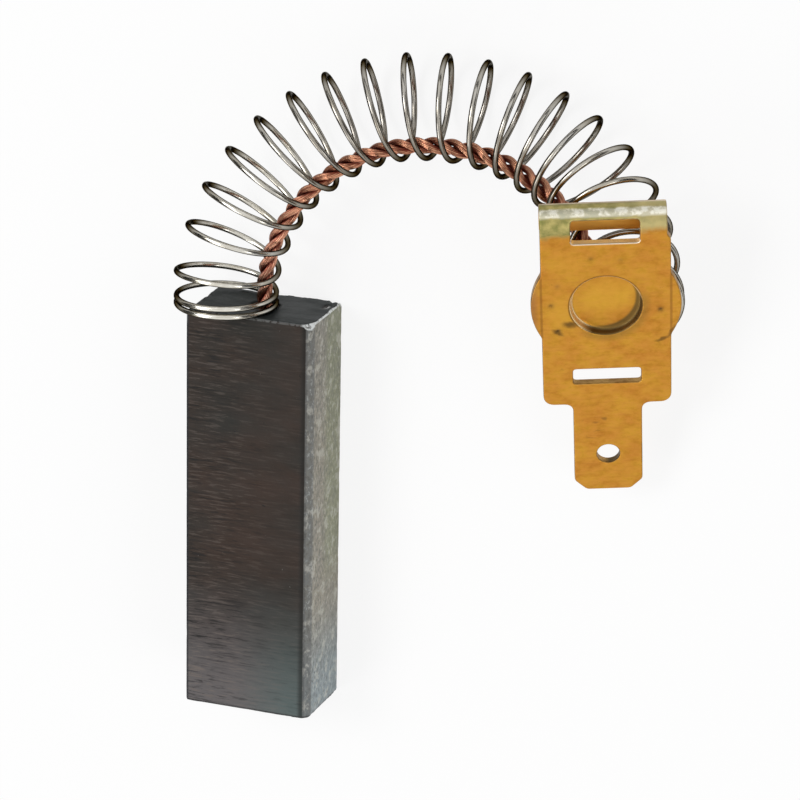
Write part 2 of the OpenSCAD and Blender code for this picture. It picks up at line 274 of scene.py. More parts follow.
def broken_edges(p):
    """Moves the block's points behind its broken edges, and returns how worn each one is."""
    x, y, z = p.T
    step = 0.01
    depth = depth_in_section(x, z)
    slope = spread(depth_in_section(x + step, z) - depth_in_section(x - step, z), 0,
                   depth_in_section(x, z + step) - depth_in_section(x, z - step))
    slope = slope / np.maximum(np.linalg.norm(slope, axis=1, keepdims=True), 1e-6)
    worn = np.zeros(len(p))
    for sign, even, chips in ((1, 0.2, 1.3), (-1, 0.16, 0.5)):
        inwards = np.array([0, -sign, 0])
        behind = BLOCK_L / 2 - sign * y
        back_edge = smooth((BLOCK_T * 0.5 - z) / 2)
        side_edge = smooth((x - BLOCK_W / 2 + 0.9) / 0.6) * (sign > 0)
        corner = side_edge * (smooth((z - BLOCK_T + 1.6) / 1.2) + 0.5 * smooth((1.4 - z) / 1.2))
        uneven = 0.05 + 0.06 * back_edge
        width = chip_width(p, even * (1 - 0.55 * side_edge) + 0.55 * corner, uneven,
                           chips * (0.3 + 1.3 * back_edge) * (1 - 0.7 * side_edge), 11 + sign)
        p, share = push(p, slope, inwards, depth, behind, np.clip(width, 0.06, 1.2))
        worn = np.maximum(worn, share)
    for sx, sz, even in ((-1, 1, 0.12), (-1, -1, 0.18), (1, -1, 0.18)):
        a = BLOCK_W / 2 - sx * x
        b = BLOCK_T - z if sz > 0 else z
        width = chip_width(p, even, 0.02, 0.14, 31 + sx + 2 * sz)
        p, share = push(p, np.array([-sx, 0, 0]), np.array([0, 0, -sz]), a, b,
                        np.clip(width, 0.06, 0.6))
        worn = np.maximum(worn, share * 0.8)
    return p, worn


sharp = np.array([[BLOCK_W / 2, BLOCK_L / 2, 0]])
print("corner", sharp[0].tolist(), "moves to", np.round(broken_edges(sharp)[0], 2).tolist())


# %% Build the block
stations = np.concatenate([steps_between(-BLOCK_L / 2, 0)[:-1], steps_between(0, BLOCK_L / 2)])
around_block = np.arctan2(section[:, 1] - BLOCK_T / 2, section[:, 0])
outer_share = 1 - np.linspace(0, 1, END_RINGS)[:, None, None] ** RING_CROWD


def end_face(y, inner_r):
    """Rings from the outline of the section down to a circle of the inner radius: each
    point is a blend of the outline and the circle at the same bearing."""
    circle = spread(inner_r * np.cos(around_block), inner_r * np.sin(around_block) + BLOCK_T / 2)
    flat = outer_share * section + (1 - outer_share) * circle
    return spread(flat[..., 0], y, flat[..., 1])


block = Patches()
count = len(section)
hull = spread(section[:, 0], stations[:, None], section[:, 1])
relief = 0.005 * cloud(hull / [9, 1, 9], 0.3, 5) + 0.004 * cloud(hull, 0.6, 6) - 0.009
skin = np.zeros_like(hull)
skin[:, 2] = 1.0 * (np.abs(hull[:, 2] - BLOCK_T) < 1e-6) - (np.abs(hull[:, 2]) < 1e-6)
skin[:, 0] = np.where(skin[:, 2] == 0, np.sign(hull[:, 0]), 0)
p, worn = broken_edges(hull)
block.grid(p + skin * (relief * (1 - worn))[:, None], count, worn=worn)
for y, inner, flip in ((BLOCK_L / 2, HOLE_R, False), (-BLOCK_L / 2, 0.0, True)):
    p, worn = broken_edges(end_face(y, inner))
    block.grid(p, count, flip, worn=worn)
hole_bottom = BLOCK_L / 2 - HOLE_DEPTH
for r, y in ((np.array([[HOLE_R]]), np.linspace(BLOCK_L / 2, hole_bottom, 12)[:, None]),
             (np.linspace(HOLE_R, 0, 5)[:, None], hole_bottom)):
    wall = spread(r * np.cos(around_block), y, r * np.sin(around_block) + BLOCK_T / 2)
    block.grid(wall, count, worn=np.zeros(len(wall)))
block.piece("ground_carbon_block", "carbon_block")

# %% [markdown]
# ## The line of the spring
# The spring stands on the block, arches over and ends on the back of the terminal. Its
# middle line is a cubic B-spline through eight guide points, the same that the CAD uses.
# The coil then turns round that line: at each place two directions square to the line are
# carried along it without twisting, and the wire runs round them on a circle.

# %% Place of the terminal and of both seats
SPRING_FACE = np.array([0, BLOCK_L / 2, BLOCK_T / 2])
TERMINAL_AT = np.array([35.8, 6.6, 6.5])
TERMINAL_TURN = np.radians([20, 20, 3.5])
SHEET = 0.8
BOSS_BACK = -1.6
SEAT_ON_BOSS = np.array([2.2, -1.1, BOSS_BACK])
BLOCK_SEAT = np.array([-3.4, 0, 1.2])
ARCH = np.array([[-3.5, 3, 1.8], [-0.2, 13.4, 1.6], [10.6, 21.7, 1.5],
                 [21.7, 22, 1], [28, 19.8, 1.1], [35.4, 15.2, 2.9]])


def turn_matrix(a):
    """Turn about X, then about Y, then about Z."""
    (cx, cy, cz), (sx, sy, sz) = np.cos(a), np.sin(a)
    return (np.array([[cz, -sz, 0], [sz, cz, 0], [0, 0, 1]])
            @ np.array([[cy, 0, sy], [0, 1, 0], [-sy, 0, cy]])
            @ np.array([[1, 0, 0], [0, cx, -sx], [0, sx, cx]]))


PLATE = turn_matrix(TERMINAL_TURN)


def on_terminal(p):
    """Point given across, up and in front of the plate, measured from the spring face."""
    return TERMINAL_AT + np.asarray(p, float) @ PLATE.T


boss_seat = on_terminal(SEAT_ON_BOSS)
print("seat on the boss", np.round(boss_seat, 2).tolist(), "mm from the spring face")


# %% Lines, and directions carried along them
def spline(guides, steps):
    """Uniform cubic B-spline that starts and ends at its first and last guide points."""
    padded = np.vstack([2 * guides[0] - guides[1], guides, 2 * guides[-1] - guides[-2]])
    t = np.linspace(0, 1, steps, endpoint=False)[:, None, None]
    a, b, c, d = padded[:-3], padded[1:-2], padded[2:-1], padded[3:]
    spans = ((1 - t) ** 3 * a + (3 * t ** 3 - 6 * t * t + 4) * b
             + (-3 * t ** 3 + 3 * t * t + 3 * t + 1) * c + t ** 3 * d) / 6
    return np.vstack([spans.transpose(1, 0, 2).reshape(-1, 3), guides[-1]])


def run_along(line):
    """Length along a line up to each of its points."""
    return np.r_[0, np.cumsum(np.linalg.norm(np.diff(line, axis=0), axis=1))]


def place(line, s):
    """Points of a line at the given lengths along it."""
    run = run_along(line)
    return spread(*(np.interp(s, run, column) for column in line.T))


def length(line):
    """Length of a line of points."""
    return np.linalg.norm(np.diff(line, axis=0), axis=1).sum()


def carried(facing, first):
    """Directions square to a line, carried along it without twisting: each is the one
    before it with the part along the line taken out. A short loop over the stations."""
    out = np.empty_like(facing)
    for i, ahead in enumerate(facing):
        first = first - (first @ ahead) * ahead
        first = first / math.sqrt(first @ first)
        out[i] = first
    return out


def on_circle(angle, a, b):
    """Direction at each angle: the cosine times a, plus the sine times b."""
    return np.cos(angle)[..., None] * a + np.sin(angle)[..., None] * b


# %% Middle line of the spring
WIRE_R = 0.275
COIL_R = (10 - 2 * WIRE_R) / 2
OPEN_TURNS, CLOSED_TURNS, CLOSED_PITCH = 18.4, 1.5, 0.61
FLAT_TURN, SEAT_GAP = 0.6, 0.02
FIRST_TURN, PITCH_BIAS = 0.53, 0.13
COIL_LEAN, LEAN_END, FACING_START = 0.2, 0.55, 0.66
COIL_STEPS = 64
BLOCK_NORMAL, BOSS_NORMAL = np.array([0.0, 1, 0]), PLATE[:, 2]
CLOSED_H = WIRE_R + SEAT_GAP + CLOSED_TURNS * CLOSED_PITCH
arch_line = spline(np.vstack([BLOCK_SEAT + CLOSED_H * BLOCK_NORMAL, ARCH,
                              boss_seat - CLOSED_H * BOSS_NORMAL]), 60)
print(f"arch {length(arch_line):.1f} mm")


def closed_rise(t):
    """Rise of a closed end above its seat, t turns from the wire's tip: flat for the
    first part of a turn, then up to a full pitch for each turn."""
    ramp = np.where(t > FLAT_TURN, (t - FLAT_TURN) / (1 - FLAT_TURN), 0)
    return WIRE_R + SEAT_GAP + CLOSED_PITCH * np.where(t > 1, t, ramp)


def coil_middle(turn):
    """Middle of the coil after a number of open turns. The first turns are wider."""
    u = np.clip(turn / OPEN_TURNS, 0, 1)
    middle = place(arch_line, length(arch_line) * (u + PITCH_BIAS * u * (1 - u)))
    low = BLOCK_SEAT + closed_rise(turn + CLOSED_TURNS)[:, None] * BLOCK_NORMAL
    high = boss_seat - closed_rise(OPEN_TURNS + CLOSED_TURNS - turn)[:, None] * BOSS_NORMAL
    return np.where((turn < 0)[:, None], low, np.where((turn > OPEN_TURNS)[:, None], high, middle))


def coil_facing(turn):
    """Way that a coil faces: along the arch with a lean, square to the seats at its ends."""
    u = np.clip(turn / OPEN_TURNS, 0, 1)[:, None]
    within = np.clip(turn, 0.02, OPEN_TURNS - 0.02)
    ahead = unit(coil_middle(within + 0.02) - coil_middle(within - 0.02))
    away, share = smooth(u * OPEN_TURNS), smooth((u - FACING_START) / (1 - FACING_START))
    lean = COIL_LEAN * np.sin(np.pi * np.clip(u / LEAN_END, 0, 1)) * np.array([0, 0, 1])
    facing = unit((1 - away) * BLOCK_NORMAL
                  + away * ((1 - share) * ahead + share * BOSS_NORMAL - lean))
    facing = np.where((turn <= 0)[:, None], BLOCK_NORMAL, facing)
    return np.where((turn >= OPEN_TURNS)[:, None], BOSS_NORMAL, facing)


# %% Coil of the spring
all_turns = OPEN_TURNS + 2 * CLOSED_TURNS
coil_turn = np.linspace(0, all_turns, round(all_turns * COIL_STEPS) + 1) - CLOSED_TURNS
middle = coil_middle(coil_turn)
facing = coil_facing(coil_turn)
out_way = carried(facing, np.array([-1.0, 0, 0]))
side_way = np.cross(facing, out_way)
coil_angle = math.tau * (FIRST_TURN + coil_turn)
spring_line = SPRING_FACE + middle + COIL_R * on_circle(coil_angle, out_way, side_way)
print(f"{all_turns:.1f} turns, spring wire {length(spring_line):.0f} mm")

# %% [markdown]
# ## Round wire along a line
# Wire is a circle carried along a path. Each ring gets its place along the wire and round
# it as a value on the mesh, which the finishes use for drawing lines that follow the wire.
# Both ends close with a small dome, as a cropped wire has.

# %% The wire helper
DOME_REACH = 0.35           # of the wire's radius


def tangents(line):
    """Direction of travel at each point, from its two neighbours."""
    return unit(np.gradient(line, axis=0))


def wire(patches, line, radius, sides, toward=None, tone_and_shade=0.0):
    """Circle of the radius carried along the line, with domed ends. Values on the points:
    run (length along in mm, turn round the wire from 0 to 1, tone_and_shade: its own colour value
    with any painted shade)."""
    ahead = tangents(line)
    first = np.array([0.31, 0.52, 0.79]) if toward is None else toward[0]
    a = carried(ahead, first) if toward is None else unit(
        toward - (toward * ahead).sum(1, keepdims=True) * ahead)
    b = np.cross(ahead, a)
    run = run_along(line)
    dome = np.radians([90, 65, 35])
    tip = DOME_REACH * np.sin(dome)
    shrink = np.r_[np.cos(dome), np.ones(len(line)), np.cos(dome[::-1])]
    reach = np.r_[-tip, np.zeros(len(line)), tip[::-1]]
    pick = np.r_[[0] * 3, np.arange(len(line)), [len(line) - 1] * 3]
    angle = np.linspace(0, math.tau, sides, endpoint=False)
    r = (radius * shrink)[:, None, None]
    centre = line[pick] + (radius * reach)[:, None] * ahead[pick]
    rings = centre[:, None] + r * on_circle(angle, a[pick][:, None], b[pick][:, None])
    tones_and_shades = np.broadcast_to(tone_and_shade, len(line))[pick]
    marks = spread(run[pick][:, None], angle / math.tau, tones_and_shades[:, None])
    patches.grid(rings, sides, True, run=marks)


print("a dome reaches", round(DOME_REACH * WIRE_R, 3), "mm past the spring wire's end")

# %% Build the spring
spring = Patches()
wire(spring, spring_line, WIRE_R, 14, toward=facing)
spring.piece("wound_spring", "spring", close=0.0005)

# %% [markdown]
# ## The shunt
# The shunt is soft copper rope: three strands laid round each other, and each strand is
# itself a bundle of fine wires. It starts in the block, lies against the inner side of the
# coils, and is soldered to the back of the terminal. Two laid circles give it: the strand
# turns round the shunt's middle, and each wire turns round its strand, the other way, so
# that the wires run nearly along the rope as they do in the real one.

# %% Middle of the shunt
STRAND_R, STRAND_GAP, LAY = 0.325, 0.07, 5.5
LAY_R = (2 * STRAND_R + STRAND_GAP) / 2 / math.sin(math.pi / 3)
LAY_OPENING, LEAD, END_GAP = 0.3, 1.6, 0.2
PLUG_FLOOR, SOLDER_H, SHUNT_ROOM = 2, 0.9, 0.1
GUIDES_A_TURN, FREE_TURNS, ARRIVES = 16, 2.5, 0.72
solder_at = on_terminal([0, 0, BOSS_BACK])
to_hole, to_solder = -BLOCK_SEAT, solder_at - boss_seat
last = len(coil_turn) - 1


def bearing(v, i):
    """Angle of a direction round the coil's middle at station i, from 0 to a full turn."""
    return math.atan2(v @ side_way[i], v @ out_way[i]) % (2 * math.pi)


inner_reach = COIL_R - WIRE_R - LAY_R * (1 + LAY_OPENING) - STRAND_R - SHUNT_ROOM
guides, free = round(all_turns * GUIDES_A_TURN), round(FREE_TURNS * GUIDES_A_TURN)
u = np.arange(free, guides - free + 1, GUIDES_A_TURN) / guides
at = np.round(u * last).astype(int)
leave, arrive = smooth(u * 5), smooth((u - ARRIVES) / (1 - ARRIVES))
reach = np.linalg.norm(to_hole) + leave * (inner_reach - np.linalg.norm(to_hole))
reach = reach + arrive * (np.linalg.norm(to_solder) - reach)
angle = (bearing(to_hole, 0) + leave * (math.pi - bearing(to_hole, 0))
         + arrive * (bearing(to_solder, last) - math.pi))
in_coils = middle[at] + reach[:, None] * on_circle(angle, out_way[at], side_way[at])
hole_used = HOLE_DEPTH - PLUG_FLOOR
into_block = [-y * BLOCK_NORMAL for y in (hole_used - END_GAP, hole_used / 2, 0, -LEAD)]
onto_boss = [solder_at - h * BOSS_NORMAL for h in (LEAD, SOLDER_H, END_GAP)]
shunt_line = SPRING_FACE + spline(np.vstack([into_block, in_coils, onto_boss]), 24)
shunt_length = length(shunt_line)
print(f"shunt {shunt_length:.1f} mm long")

# %% Strands of fine wires
stations = np.linspace(0, 1, 241)
shunt_middle = place(shunt_line, stations * shunt_length)
shunt_side = carried(tangents(shunt_middle), np.array([1.0, 0, 0]))
shunt_over = np.cross(tangents(shunt_middle), shunt_side)
opened = smooth((stations - 0.5) / 0.25) * (1 - smooth((stations - 0.86) / 0.08))
lay_r = LAY_R * (1 + LAY_OPENING * opened)
FINE_R, FINE_WIRES, FINE_LAY = 0.074, 12, 13.0
CORE_R = STRAND_R - 2.2 * FINE_R + 0.04


def circle_round(line, a, b, r, angle):
    """The line moved outwards by r at the given angle between two square directions."""
    return line + r[:, None] * on_circle(angle, a, b)


def wander(scale, n, k, cell, seed):
    """Noise along the shunt, different for each fine wire n of each strand k."""
    return cloud(spread(stations * scale, n, k), cell, seed)


for k in range(3):
    lay = math.tau * (stations * shunt_length / LAY + k / 3)
    strand_line = circle_round(shunt_middle, shunt_side, shunt_over, lay_r, lay)
    ahead = tangents(strand_line)
    a = carried(ahead, np.array([1.0, 0, 0]))
    b = np.cross(ahead, a)
    strand = Patches()
    # The core wire gets full painted shade, deep inside the strand.
    wire(strand, strand_line, CORE_R, 8, tone_and_shade=1.0)
    for n in range(FINE_WIRES):
        spin = (math.tau * (n / FINE_WIRES - stations * shunt_length / FINE_LAY)
                + 0.10 * wander(40, n, k, 2.5, 77))
        loose = STRAND_R + 0.02 - FINE_R + 0.018 * wander(30, 3.7 * n, k, 1.5, 91)
        line = circle_round(strand_line, a, b, loose, spin)
        # Painted shade: a fine wire is darkened the deeper it lies towards the shunt's middle,
        # between the strands; the rest of its value is its own.
        below = lay_r + STRAND_R - FINE_R - np.linalg.norm(line - shunt_middle, axis=1)
        groove = smooth(below / STRAND_R)
        own = ((n * 7 + k * 5) % 12) / 12
        wire(strand, line, FINE_R, 6, tone_and_shade=0.4 * own + 0.6 * groove)
    strand.piece(f"copper_strand_{k + 1}", f"shunt_strand_{k + 1}", close=0.0005)

# %% [markdown]
# ## The tamping plug and the solder
# The shunt is held in its hole by copper and graphite powder, tamped in round it, and the
# surface stays grainy. At the other end a spot of solder creeps up the strands. Both are
# profiles turned round the shunt's own axis, roughened by noise.


# %% Turned pieces
def turned(patches, profile, origin, axis_a, axis_b, axis_n, rough=0.0, wave=0.0, seed=3,
           steps=96, flip=False):
    """A profile of (radius, height) pairs turned round an axis. Wave changes the radius
    with the bearing, and rough moves the points along the axis."""
    profile = np.asarray(profile, float)
    bearing = np.linspace(0, math.tau, steps, endpoint=False)
    ring = spread(np.cos(bearing), np.sin(bearing), 0)
    r = profile[:, :1] * (1 + wave * cloud(ring * 2 + seed, 0.9, seed))
    spots = spread(r * np.cos(bearing), r * np.sin(bearing), profile[:, 1:])
    grainy = rough * cloud(spots, 0.22, seed + 1) + rough * cloud(spots, 0.5, seed + 2)
    h = profile[:, 1:] + grainy.reshape(r.shape)
    patches.grid(origin + r[..., None] * on_circle(bearing, axis_a, axis_b)
                 + h[..., None] * axis_n, steps, flip)


SHUNT_BORE, plug_r = LAY_R + STRAND_R + 0.05, HOLE_R - 0.02
plug = Patches()
turned(plug, [(SHUNT_BORE * k, -hole_used) for k in (0, 0.5, 1)]
       + [(SHUNT_BORE, y) for y in (-4.0, -2.0, -0.8, -0.3)]
       + [(SHUNT_BORE + 0.03, -0.12), (SHUNT_BORE + 0.12, -0.06)]
       + [(r, -0.06) for r in (1.0, 1.1, 1.2, 1.3)] + [(plug_r - 0.02, -0.07), (plug_r, -0.12)]
       + [(plug_r, y) for y in (-1.0, -4.0, -7.0, 0.01 - HOLE_DEPTH)]
       + [(plug_r * k, 0.01 - HOLE_DEPTH) for k in (0.6, 0.0)],
       SPRING_FACE, np.array([0, 0, 1.0]), np.array([1.0, 0, 0]), BLOCK_NORMAL, rough=0.02)
plug.piece("tamped_plug", "tamping_plug")

# %% [markdown]
# ## The terminal
# The terminal is cut and folded from one strip of brass: a plate with two round ears, a
# pressed boss, two slots, a tab with a hole, and a hook folded back at the top. It is
# worked out flat, as the toolmaker does, and folded by one formula afterwards. The cut
# edges are a rounded profile carried round each outline, and the two faces between them
# are filled with a mesh of triangles, because a grid can't follow all these outlines.

# %% Outlines of the blank
PLATE_W, SHOULDER, HOOK_Y, HOOK_R, LEAF = 11.7, 11.2, 8.3, 1.7, 1.7
EAR_R, CORNER_R, FILLET_R, HOOK_STEP = 6.8, 0.9, 0.7, 0.3
TAB_W, TAB_END, TAB_BEVEL, TAB_HOLE_Y, TAB_HOLE_R = 6.3, -21.3, 1.1, -17.1, 1.05
SLOT_L, SLOT_H, SLOT_Y, UPPER_SLOT_Y, UPPER_SLOT_TURN = 6.2, 1.7, -8.0, 6.9, math.radians(37)
FOLD_R = HOOK_R - SHEET / 2
FOLD_END = HOOK_Y + math.pi * FOLD_R
BLANK_END = FOLD_END + LEAF
WALK = 0.04                 # step in mm that outlines are smoothed with
print("blank", PLATE_W, "mm wide, from", TAB_END, "to", round(BLANK_END, 2), "mm")


def even_loop(corners, step=0.24, soften=0.16):
    """Closed outline walked in even steps. A smooth average over neighbouring points
    rounds each corner a little, as a punch does."""
    corners = np.vstack([corners, corners[:1]])
    run = run_along(corners)[-1]
    fine = round(run / WALK)
    p = place(corners, np.linspace(0, run, fine, endpoint=False))
    reach = round(3 * soften / WALK)
    shifts = np.arange(-reach, reach + 1)
    weights = np.exp(-0.5 * (shifts * WALK / soften) ** 2)
    p = sum(w * np.roll(p, k, axis=0) for w, k in zip(weights / weights.sum(), shifts))
    return p[np.round(np.linspace(0, fine, round(run / step), endpoint=False)).astype(int)]


def box_loop(x, low, high, r=0.25):
    """Outline of a slot with round corners."""
    return np.vstack([arc(x - r, high - r, r, 0, 90, 5), arc(r - x, high - r, r, 90, 180, 5),
                      arc(r - x, low + r, r, 180, 270, 5), arc(x - r, low + r, r, 270, 360, 5)])


# %% The four outlines
w, t = PLATE_W / 2, TAB_W / 2
ear = math.degrees(math.asin(math.sqrt(EAR_R ** 2 - w ** 2) / EAR_R))
right_half = np.vstack([
    [[t - TAB_BEVEL, TAB_END], [t, TAB_END + TAB_BEVEL]],
    arc(t + FILLET_R, -SHOULDER - FILLET_R, FILLET_R, 180, 90),
    arc(w - CORNER_R, -SHOULDER + CORNER_R, CORNER_R, -90, 0),
    arc(0, 0, EAR_R, -ear, ear, 25)])
left_half = right_half[::-1] * [-1, 1]
outline = np.vstack([right_half, [[w, 7.3], [w - HOOK_STEP, 7.6], [w - HOOK_STEP, BLANK_END]],
                     [[-w, BLANK_END]], left_half])
slot_top = HOOK_Y + UPPER_SLOT_TURN * FOLD_R
outer_loop = even_loop(outline)
hole_loops = [even_loop(box_loop(SLOT_L / 2, SLOT_Y - SLOT_H / 2, SLOT_Y + SLOT_H / 2),
                        0.2, 0.08),
              even_loop(box_loop(SLOT_L / 2, UPPER_SLOT_Y, slot_top), 0.2, 0.08),
              even_loop(arc(0, TAB_HOLE_Y, TAB_HOLE_R, 0, 360, 73)[:-1], 0.16, 0.06)]
print("outline of", len(outer_loop), "points, holes of", [len(loop) for loop in hole_loops])


# %% Fold the blank
def folded(u, s, depth):
    """Blank to terminal: flat up to the hook, then round a half circle whose radius is
    smaller deeper in the sheet, then straight back. Returned in the row's frame."""
    a = np.clip((s - HOOK_Y) / FOLD_R, 0, math.pi)
    r = HOOK_R - depth
    beyond = np.maximum(s - FOLD_END, 0)
    y = np.where(s < HOOK_Y, s, HOOK_Y + r * np.sin(a) - beyond)
    n = np.where(s < HOOK_Y, -depth, -HOOK_R + r * np.cos(a))
    return SPRING_FACE + on_terminal(spread(u, y, n))


# Each stake mark: its bearing in degrees, its distance from the middle, and its force.
STAKES = np.array([(152, 4.93, 0.4), (178, 4.96, 0.75), (212, 5.13, 1.0), (104, 5.42, 0.5),
                   (75, 5.23, 0.35), (-7, 4.94, 1.0)])
stakes = np.concatenate([arc(0, 0, r, bearing, bearing, 1) for bearing, r, _ in STAKES])
DENT_DEPTH, DENT_R, MARK_R = 0.12, 0.17, 0.27


def stake_prints(p, r):
    """Sum over the stake marks of the force times exp(-(distance / r) squared)."""
    away = np.linalg.norm(p[:, None] - stakes, axis=2)
    return (STAKES[:, 2] * np.exp(-(away / r) ** 2)).sum(1)


def face_depth(u, s):
    """How far the front face lies below its plane: faint waves left by the rolling, and
    the small dents of the stake marks."""
    flat = spread(u, s, 0)
    deep = 0.012 * (1 + cloud(flat, 3.1, 21)) + 0.004 * (1 + cloud(flat * [0.25, 1, 1], 0.5, 22))
    return deep + DENT_DEPTH * stake_prints(flat[:, :2], DENT_R)


def blank_values(u, s, depth):
    """Values on the sheet: blank (across, along, depth in mm) and mark (stake marks)."""
    return dict(blank=spread(u, s, depth),
                mark=np.clip(stake_prints(spread(u, s), MARK_R), 0, 1))


tip = folded(np.zeros(1), np.array([BLANK_END]), 0.0)[0]
print("tip of the folded leaf at", np.round(tip, 2).tolist())

# %% Cut edges of the sheet
FRONT_ROLL, BACK_ROLL = 0.14, 0.06


def edge_profile():
    """(inset, depth) from the front face, over the rolled front edge, down the cut and
    round the back edge to the back face."""
    a = np.radians(np.linspace(0, 90, 5))
    front = FRONT_ROLL * (1 - spread(np.sin(a), np.cos(a)))
    back = [0, SHEET] + BACK_ROLL * (spread(-np.cos(a), np.sin(a)) + [1, -1])
    cut = np.array([[0.0, 0.3], [0.012, 0.5]])
    return np.vstack([front, cut, back])


def inward(loop, hole):
    """Direction across a loop that leads into the metal."""
    ahead = unit(np.roll(loop, -1, 0) - np.roll(loop, 1, 0))
    across = spread(-ahead[:, 1], ahead[:, 0])
    return -across if hole else across


terminal = Patches()
profile = edge_profile()
rims = []
for loop, hole in [(outer_loop, False)] + [(loop, True) for loop in hole_loops]:
    way = inward(loop, hole)
    u, s = (loop + profile[:, 0][:, None, None] * way).reshape(-1, 2).T
    depth = np.repeat(profile[:, 1], len(loop))
    sag = face_depth(u, s) * (1 - depth / SHEET)
    terminal.grid(folded(u, s, depth + sag), len(loop), hole, **blank_values(u, s, depth))
    rims.append((loop + FRONT_ROLL * way, loop + BACK_ROLL * way))
print("cut edges have", terminal.count, "points")


# %% Inside and outside of an outline
def inside(points, loop):
    """True where a ray to the right crosses the loop an odd number of times."""
    x, y = points[:, :1], points[:, 1:]
    a, b = loop, np.roll(loop, -1, 0)
    crosses = (a[:, 1] > y) != (b[:, 1] > y)
    slope = np.where(b[:, 1] == a[:, 1], 1, b[:, 1] - a[:, 1])
    at_x = a[:, 0] + (y - a[:, 1]) * (b[:, 0] - a[:, 0]) / slope
    return (np.sum(crosses & (x < at_x), axis=1) % 2) == 1


def in_metal(points, loops):
    """True inside the first loop and outside all the others."""
    keep = inside(points, loops[0])
    for loop in loops[1:]:
        keep &= ~inside(points, loop)
    return keep


def gap_to(points, loop):
    """Distance from each point to the nearest corner of the loop."""
    return np.sqrt(((points[:, None] - loop[None]) ** 2).sum(2)).min(1)


probes = np.array([[0, 0], [0, TAB_HOLE_Y], [9, 0]])
print("metal at the plate's middle, in the tab's hole, beside the plate:",
      in_metal(probes, [outer_loop] + hole_loops).tolist())

# %% Steps and points to fill a face with
ROW_STEP, FOLD_STEP, LEAF_STEP, COLUMN_STEP = 0.36, 0.17, 0.4, 0.4
STAKE_RINGS = ((0.09, 6), (0.18, 10), (0.28, 14), (0.42, 16))
STAKE_ROOM, OUTLINE_ROOM, PRESSED_ROOM = 0.55, 0.2, 0.15


def fill_points(loops, pressed_r):
    """Points to fill a face with: even rows across the sheet, closer rows in the fold,
    and rings round each stake mark, none of them too near an outline."""
    rows = np.r_[np.arange(TAB_END + 0.3, HOOK_Y - 0.2, ROW_STEP),
                 np.arange(HOOK_Y, FOLD_END + 0.1, FOLD_STEP),
                 np.arange(FOLD_END + 0.3, BLANK_END, LEAF_STEP)]
    grid = spread(np.arange(-EAR_R, EAR_R, COLUMN_STEP), rows[:, None])
    odd = (np.round(grid[:, 1] / ROW_STEP) % 2) * (grid[:, 1] < HOOK_Y)
    grid[:, 0] += COLUMN_STEP / 2 * odd
    ring = np.vstack([arc(0, 0, r, 0, 360, n + 1)[:-1] for r, n in STAKE_RINGS])
    marks = (stakes[:, None] + ring).reshape(-1, 2)
    grid = grid[gap_to(grid, stakes) > STAKE_ROOM]
    near = np.vstack([grid, marks, stakes])
    keep = in_metal(near, loops) & (gap_to(near, np.vstack(loops)) > OUTLINE_ROOM)
    return near[keep & (np.linalg.norm(near, axis=1) > pressed_r + PRESSED_ROOM)]


# %% Triangles between the outlines
def filled_face(loops, pressed_r):
    """Triangles between the outer loop and its holes. Returns the points and triangles."""
    points = np.vstack(loops + [fill_points(loops, pressed_r)])
    edges, start = [], 0
    for loop in loops:
        k = np.arange(len(loop))
        edges += spread(start + k, start + (k + 1) % len(loop)).tolist()
        start += len(loop)
    flat, _, faces, *_ = delaunay_2d_cdt([tuple(p) for p in points.tolist()], edges, [], 0, 1e-7)
    flat = np.array([tuple(p) for p in flat])
    faces = np.array([tuple(face) for face in faces if len(face) == 3])
    faces = faces[in_metal(flat[faces].mean(1), loops)]
    a, b, c = flat[faces[:, 0]], flat[faces[:, 1]], flat[faces[:, 2]]
    turn = (b - a)[:, 0] * (c - a)[:, 1] - (b - a)[:, 1] * (c - a)[:, 0]
    faces = np.where((turn > 0)[:, None], faces, faces[:, ::-1])
    return flat, faces[np.abs(turn) > 1e-9]


RECESS_EDGE, BOSS_EDGE, PRESS_STEPS = 3.5, 4.0, 120
for front, edge_r in ((True, RECESS_EDGE), (False, BOSS_EDGE)):
    pressed = arc(0, 0, edge_r, 0, 360, PRESS_STEPS + 1)[:-1]
    loops = [rim[0 if front else 1] for rim in rims] + [pressed]
    flat, faces = filled_face(loops, edge_r)
    depth = face_depth(*flat.T) if front else np.full(len(flat), SHEET)
    terminal.add(folded(flat[:, 0], flat[:, 1], depth), faces, flip=not front,
                 **blank_values(flat[:, 0], flat[:, 1], 0.0 if front else SHEET))
    print("front" if front else "back", len(faces), "triangles")

# %% [markdown]
# The boss is pressed: a round punch sinks the front, and the same metal stands out behind.
# Its two sides are profiles turned round the middle of the plate, with soft edges where
# the metal flowed.

# %% Recess and boss
RECESS = [(RECESS_EDGE, 0), (3.42, 0.004), (3.34, 0.03), (3.27, 0.085), (3.225, 0.17), (3.2, 0.3),
          (3.18, 0.5), (3.15, 0.64), (3.08, 0.73), (2.96, 0.78), (2.8, 0.795), (2.4, 0.8),
          (1.9, 0.795), (1.3, 0.785), (0.7, 0.775), (0.0, 0.77)]
BOSS = [(BOSS_EDGE, SHEET), (3.88, 0.815), (3.78, 0.87), (3.72, 0.97), (3.7, 1.1), (3.7, 1.4),
        (3.68, 1.5), (3.62, 1.57), (3.5, 1.6), (3.0, 1.6), (2.0, 1.6), (1.0, 1.6), (0, 1.6)]
press_bearing = np.linspace(0, math.tau, PRESS_STEPS, endpoint=False)
for shape, flip in ((RECESS, True), (BOSS, False)):
    r, depth = (column[:, None] for column in np.array(shape).T)
    u, s, depth = spread(r * np.cos(press_bearing), r * np.sin(press_bearing), depth).T
    sag = face_depth(u, s) if flip else 0 * u
    terminal.grid(SPRING_FACE + on_terminal(spread(u, s, -depth - sag)), PRESS_STEPS, flip,
                  **blank_values(u, s, depth))
terminal.piece("folded_terminal", "terminal_plate", close=0.004)

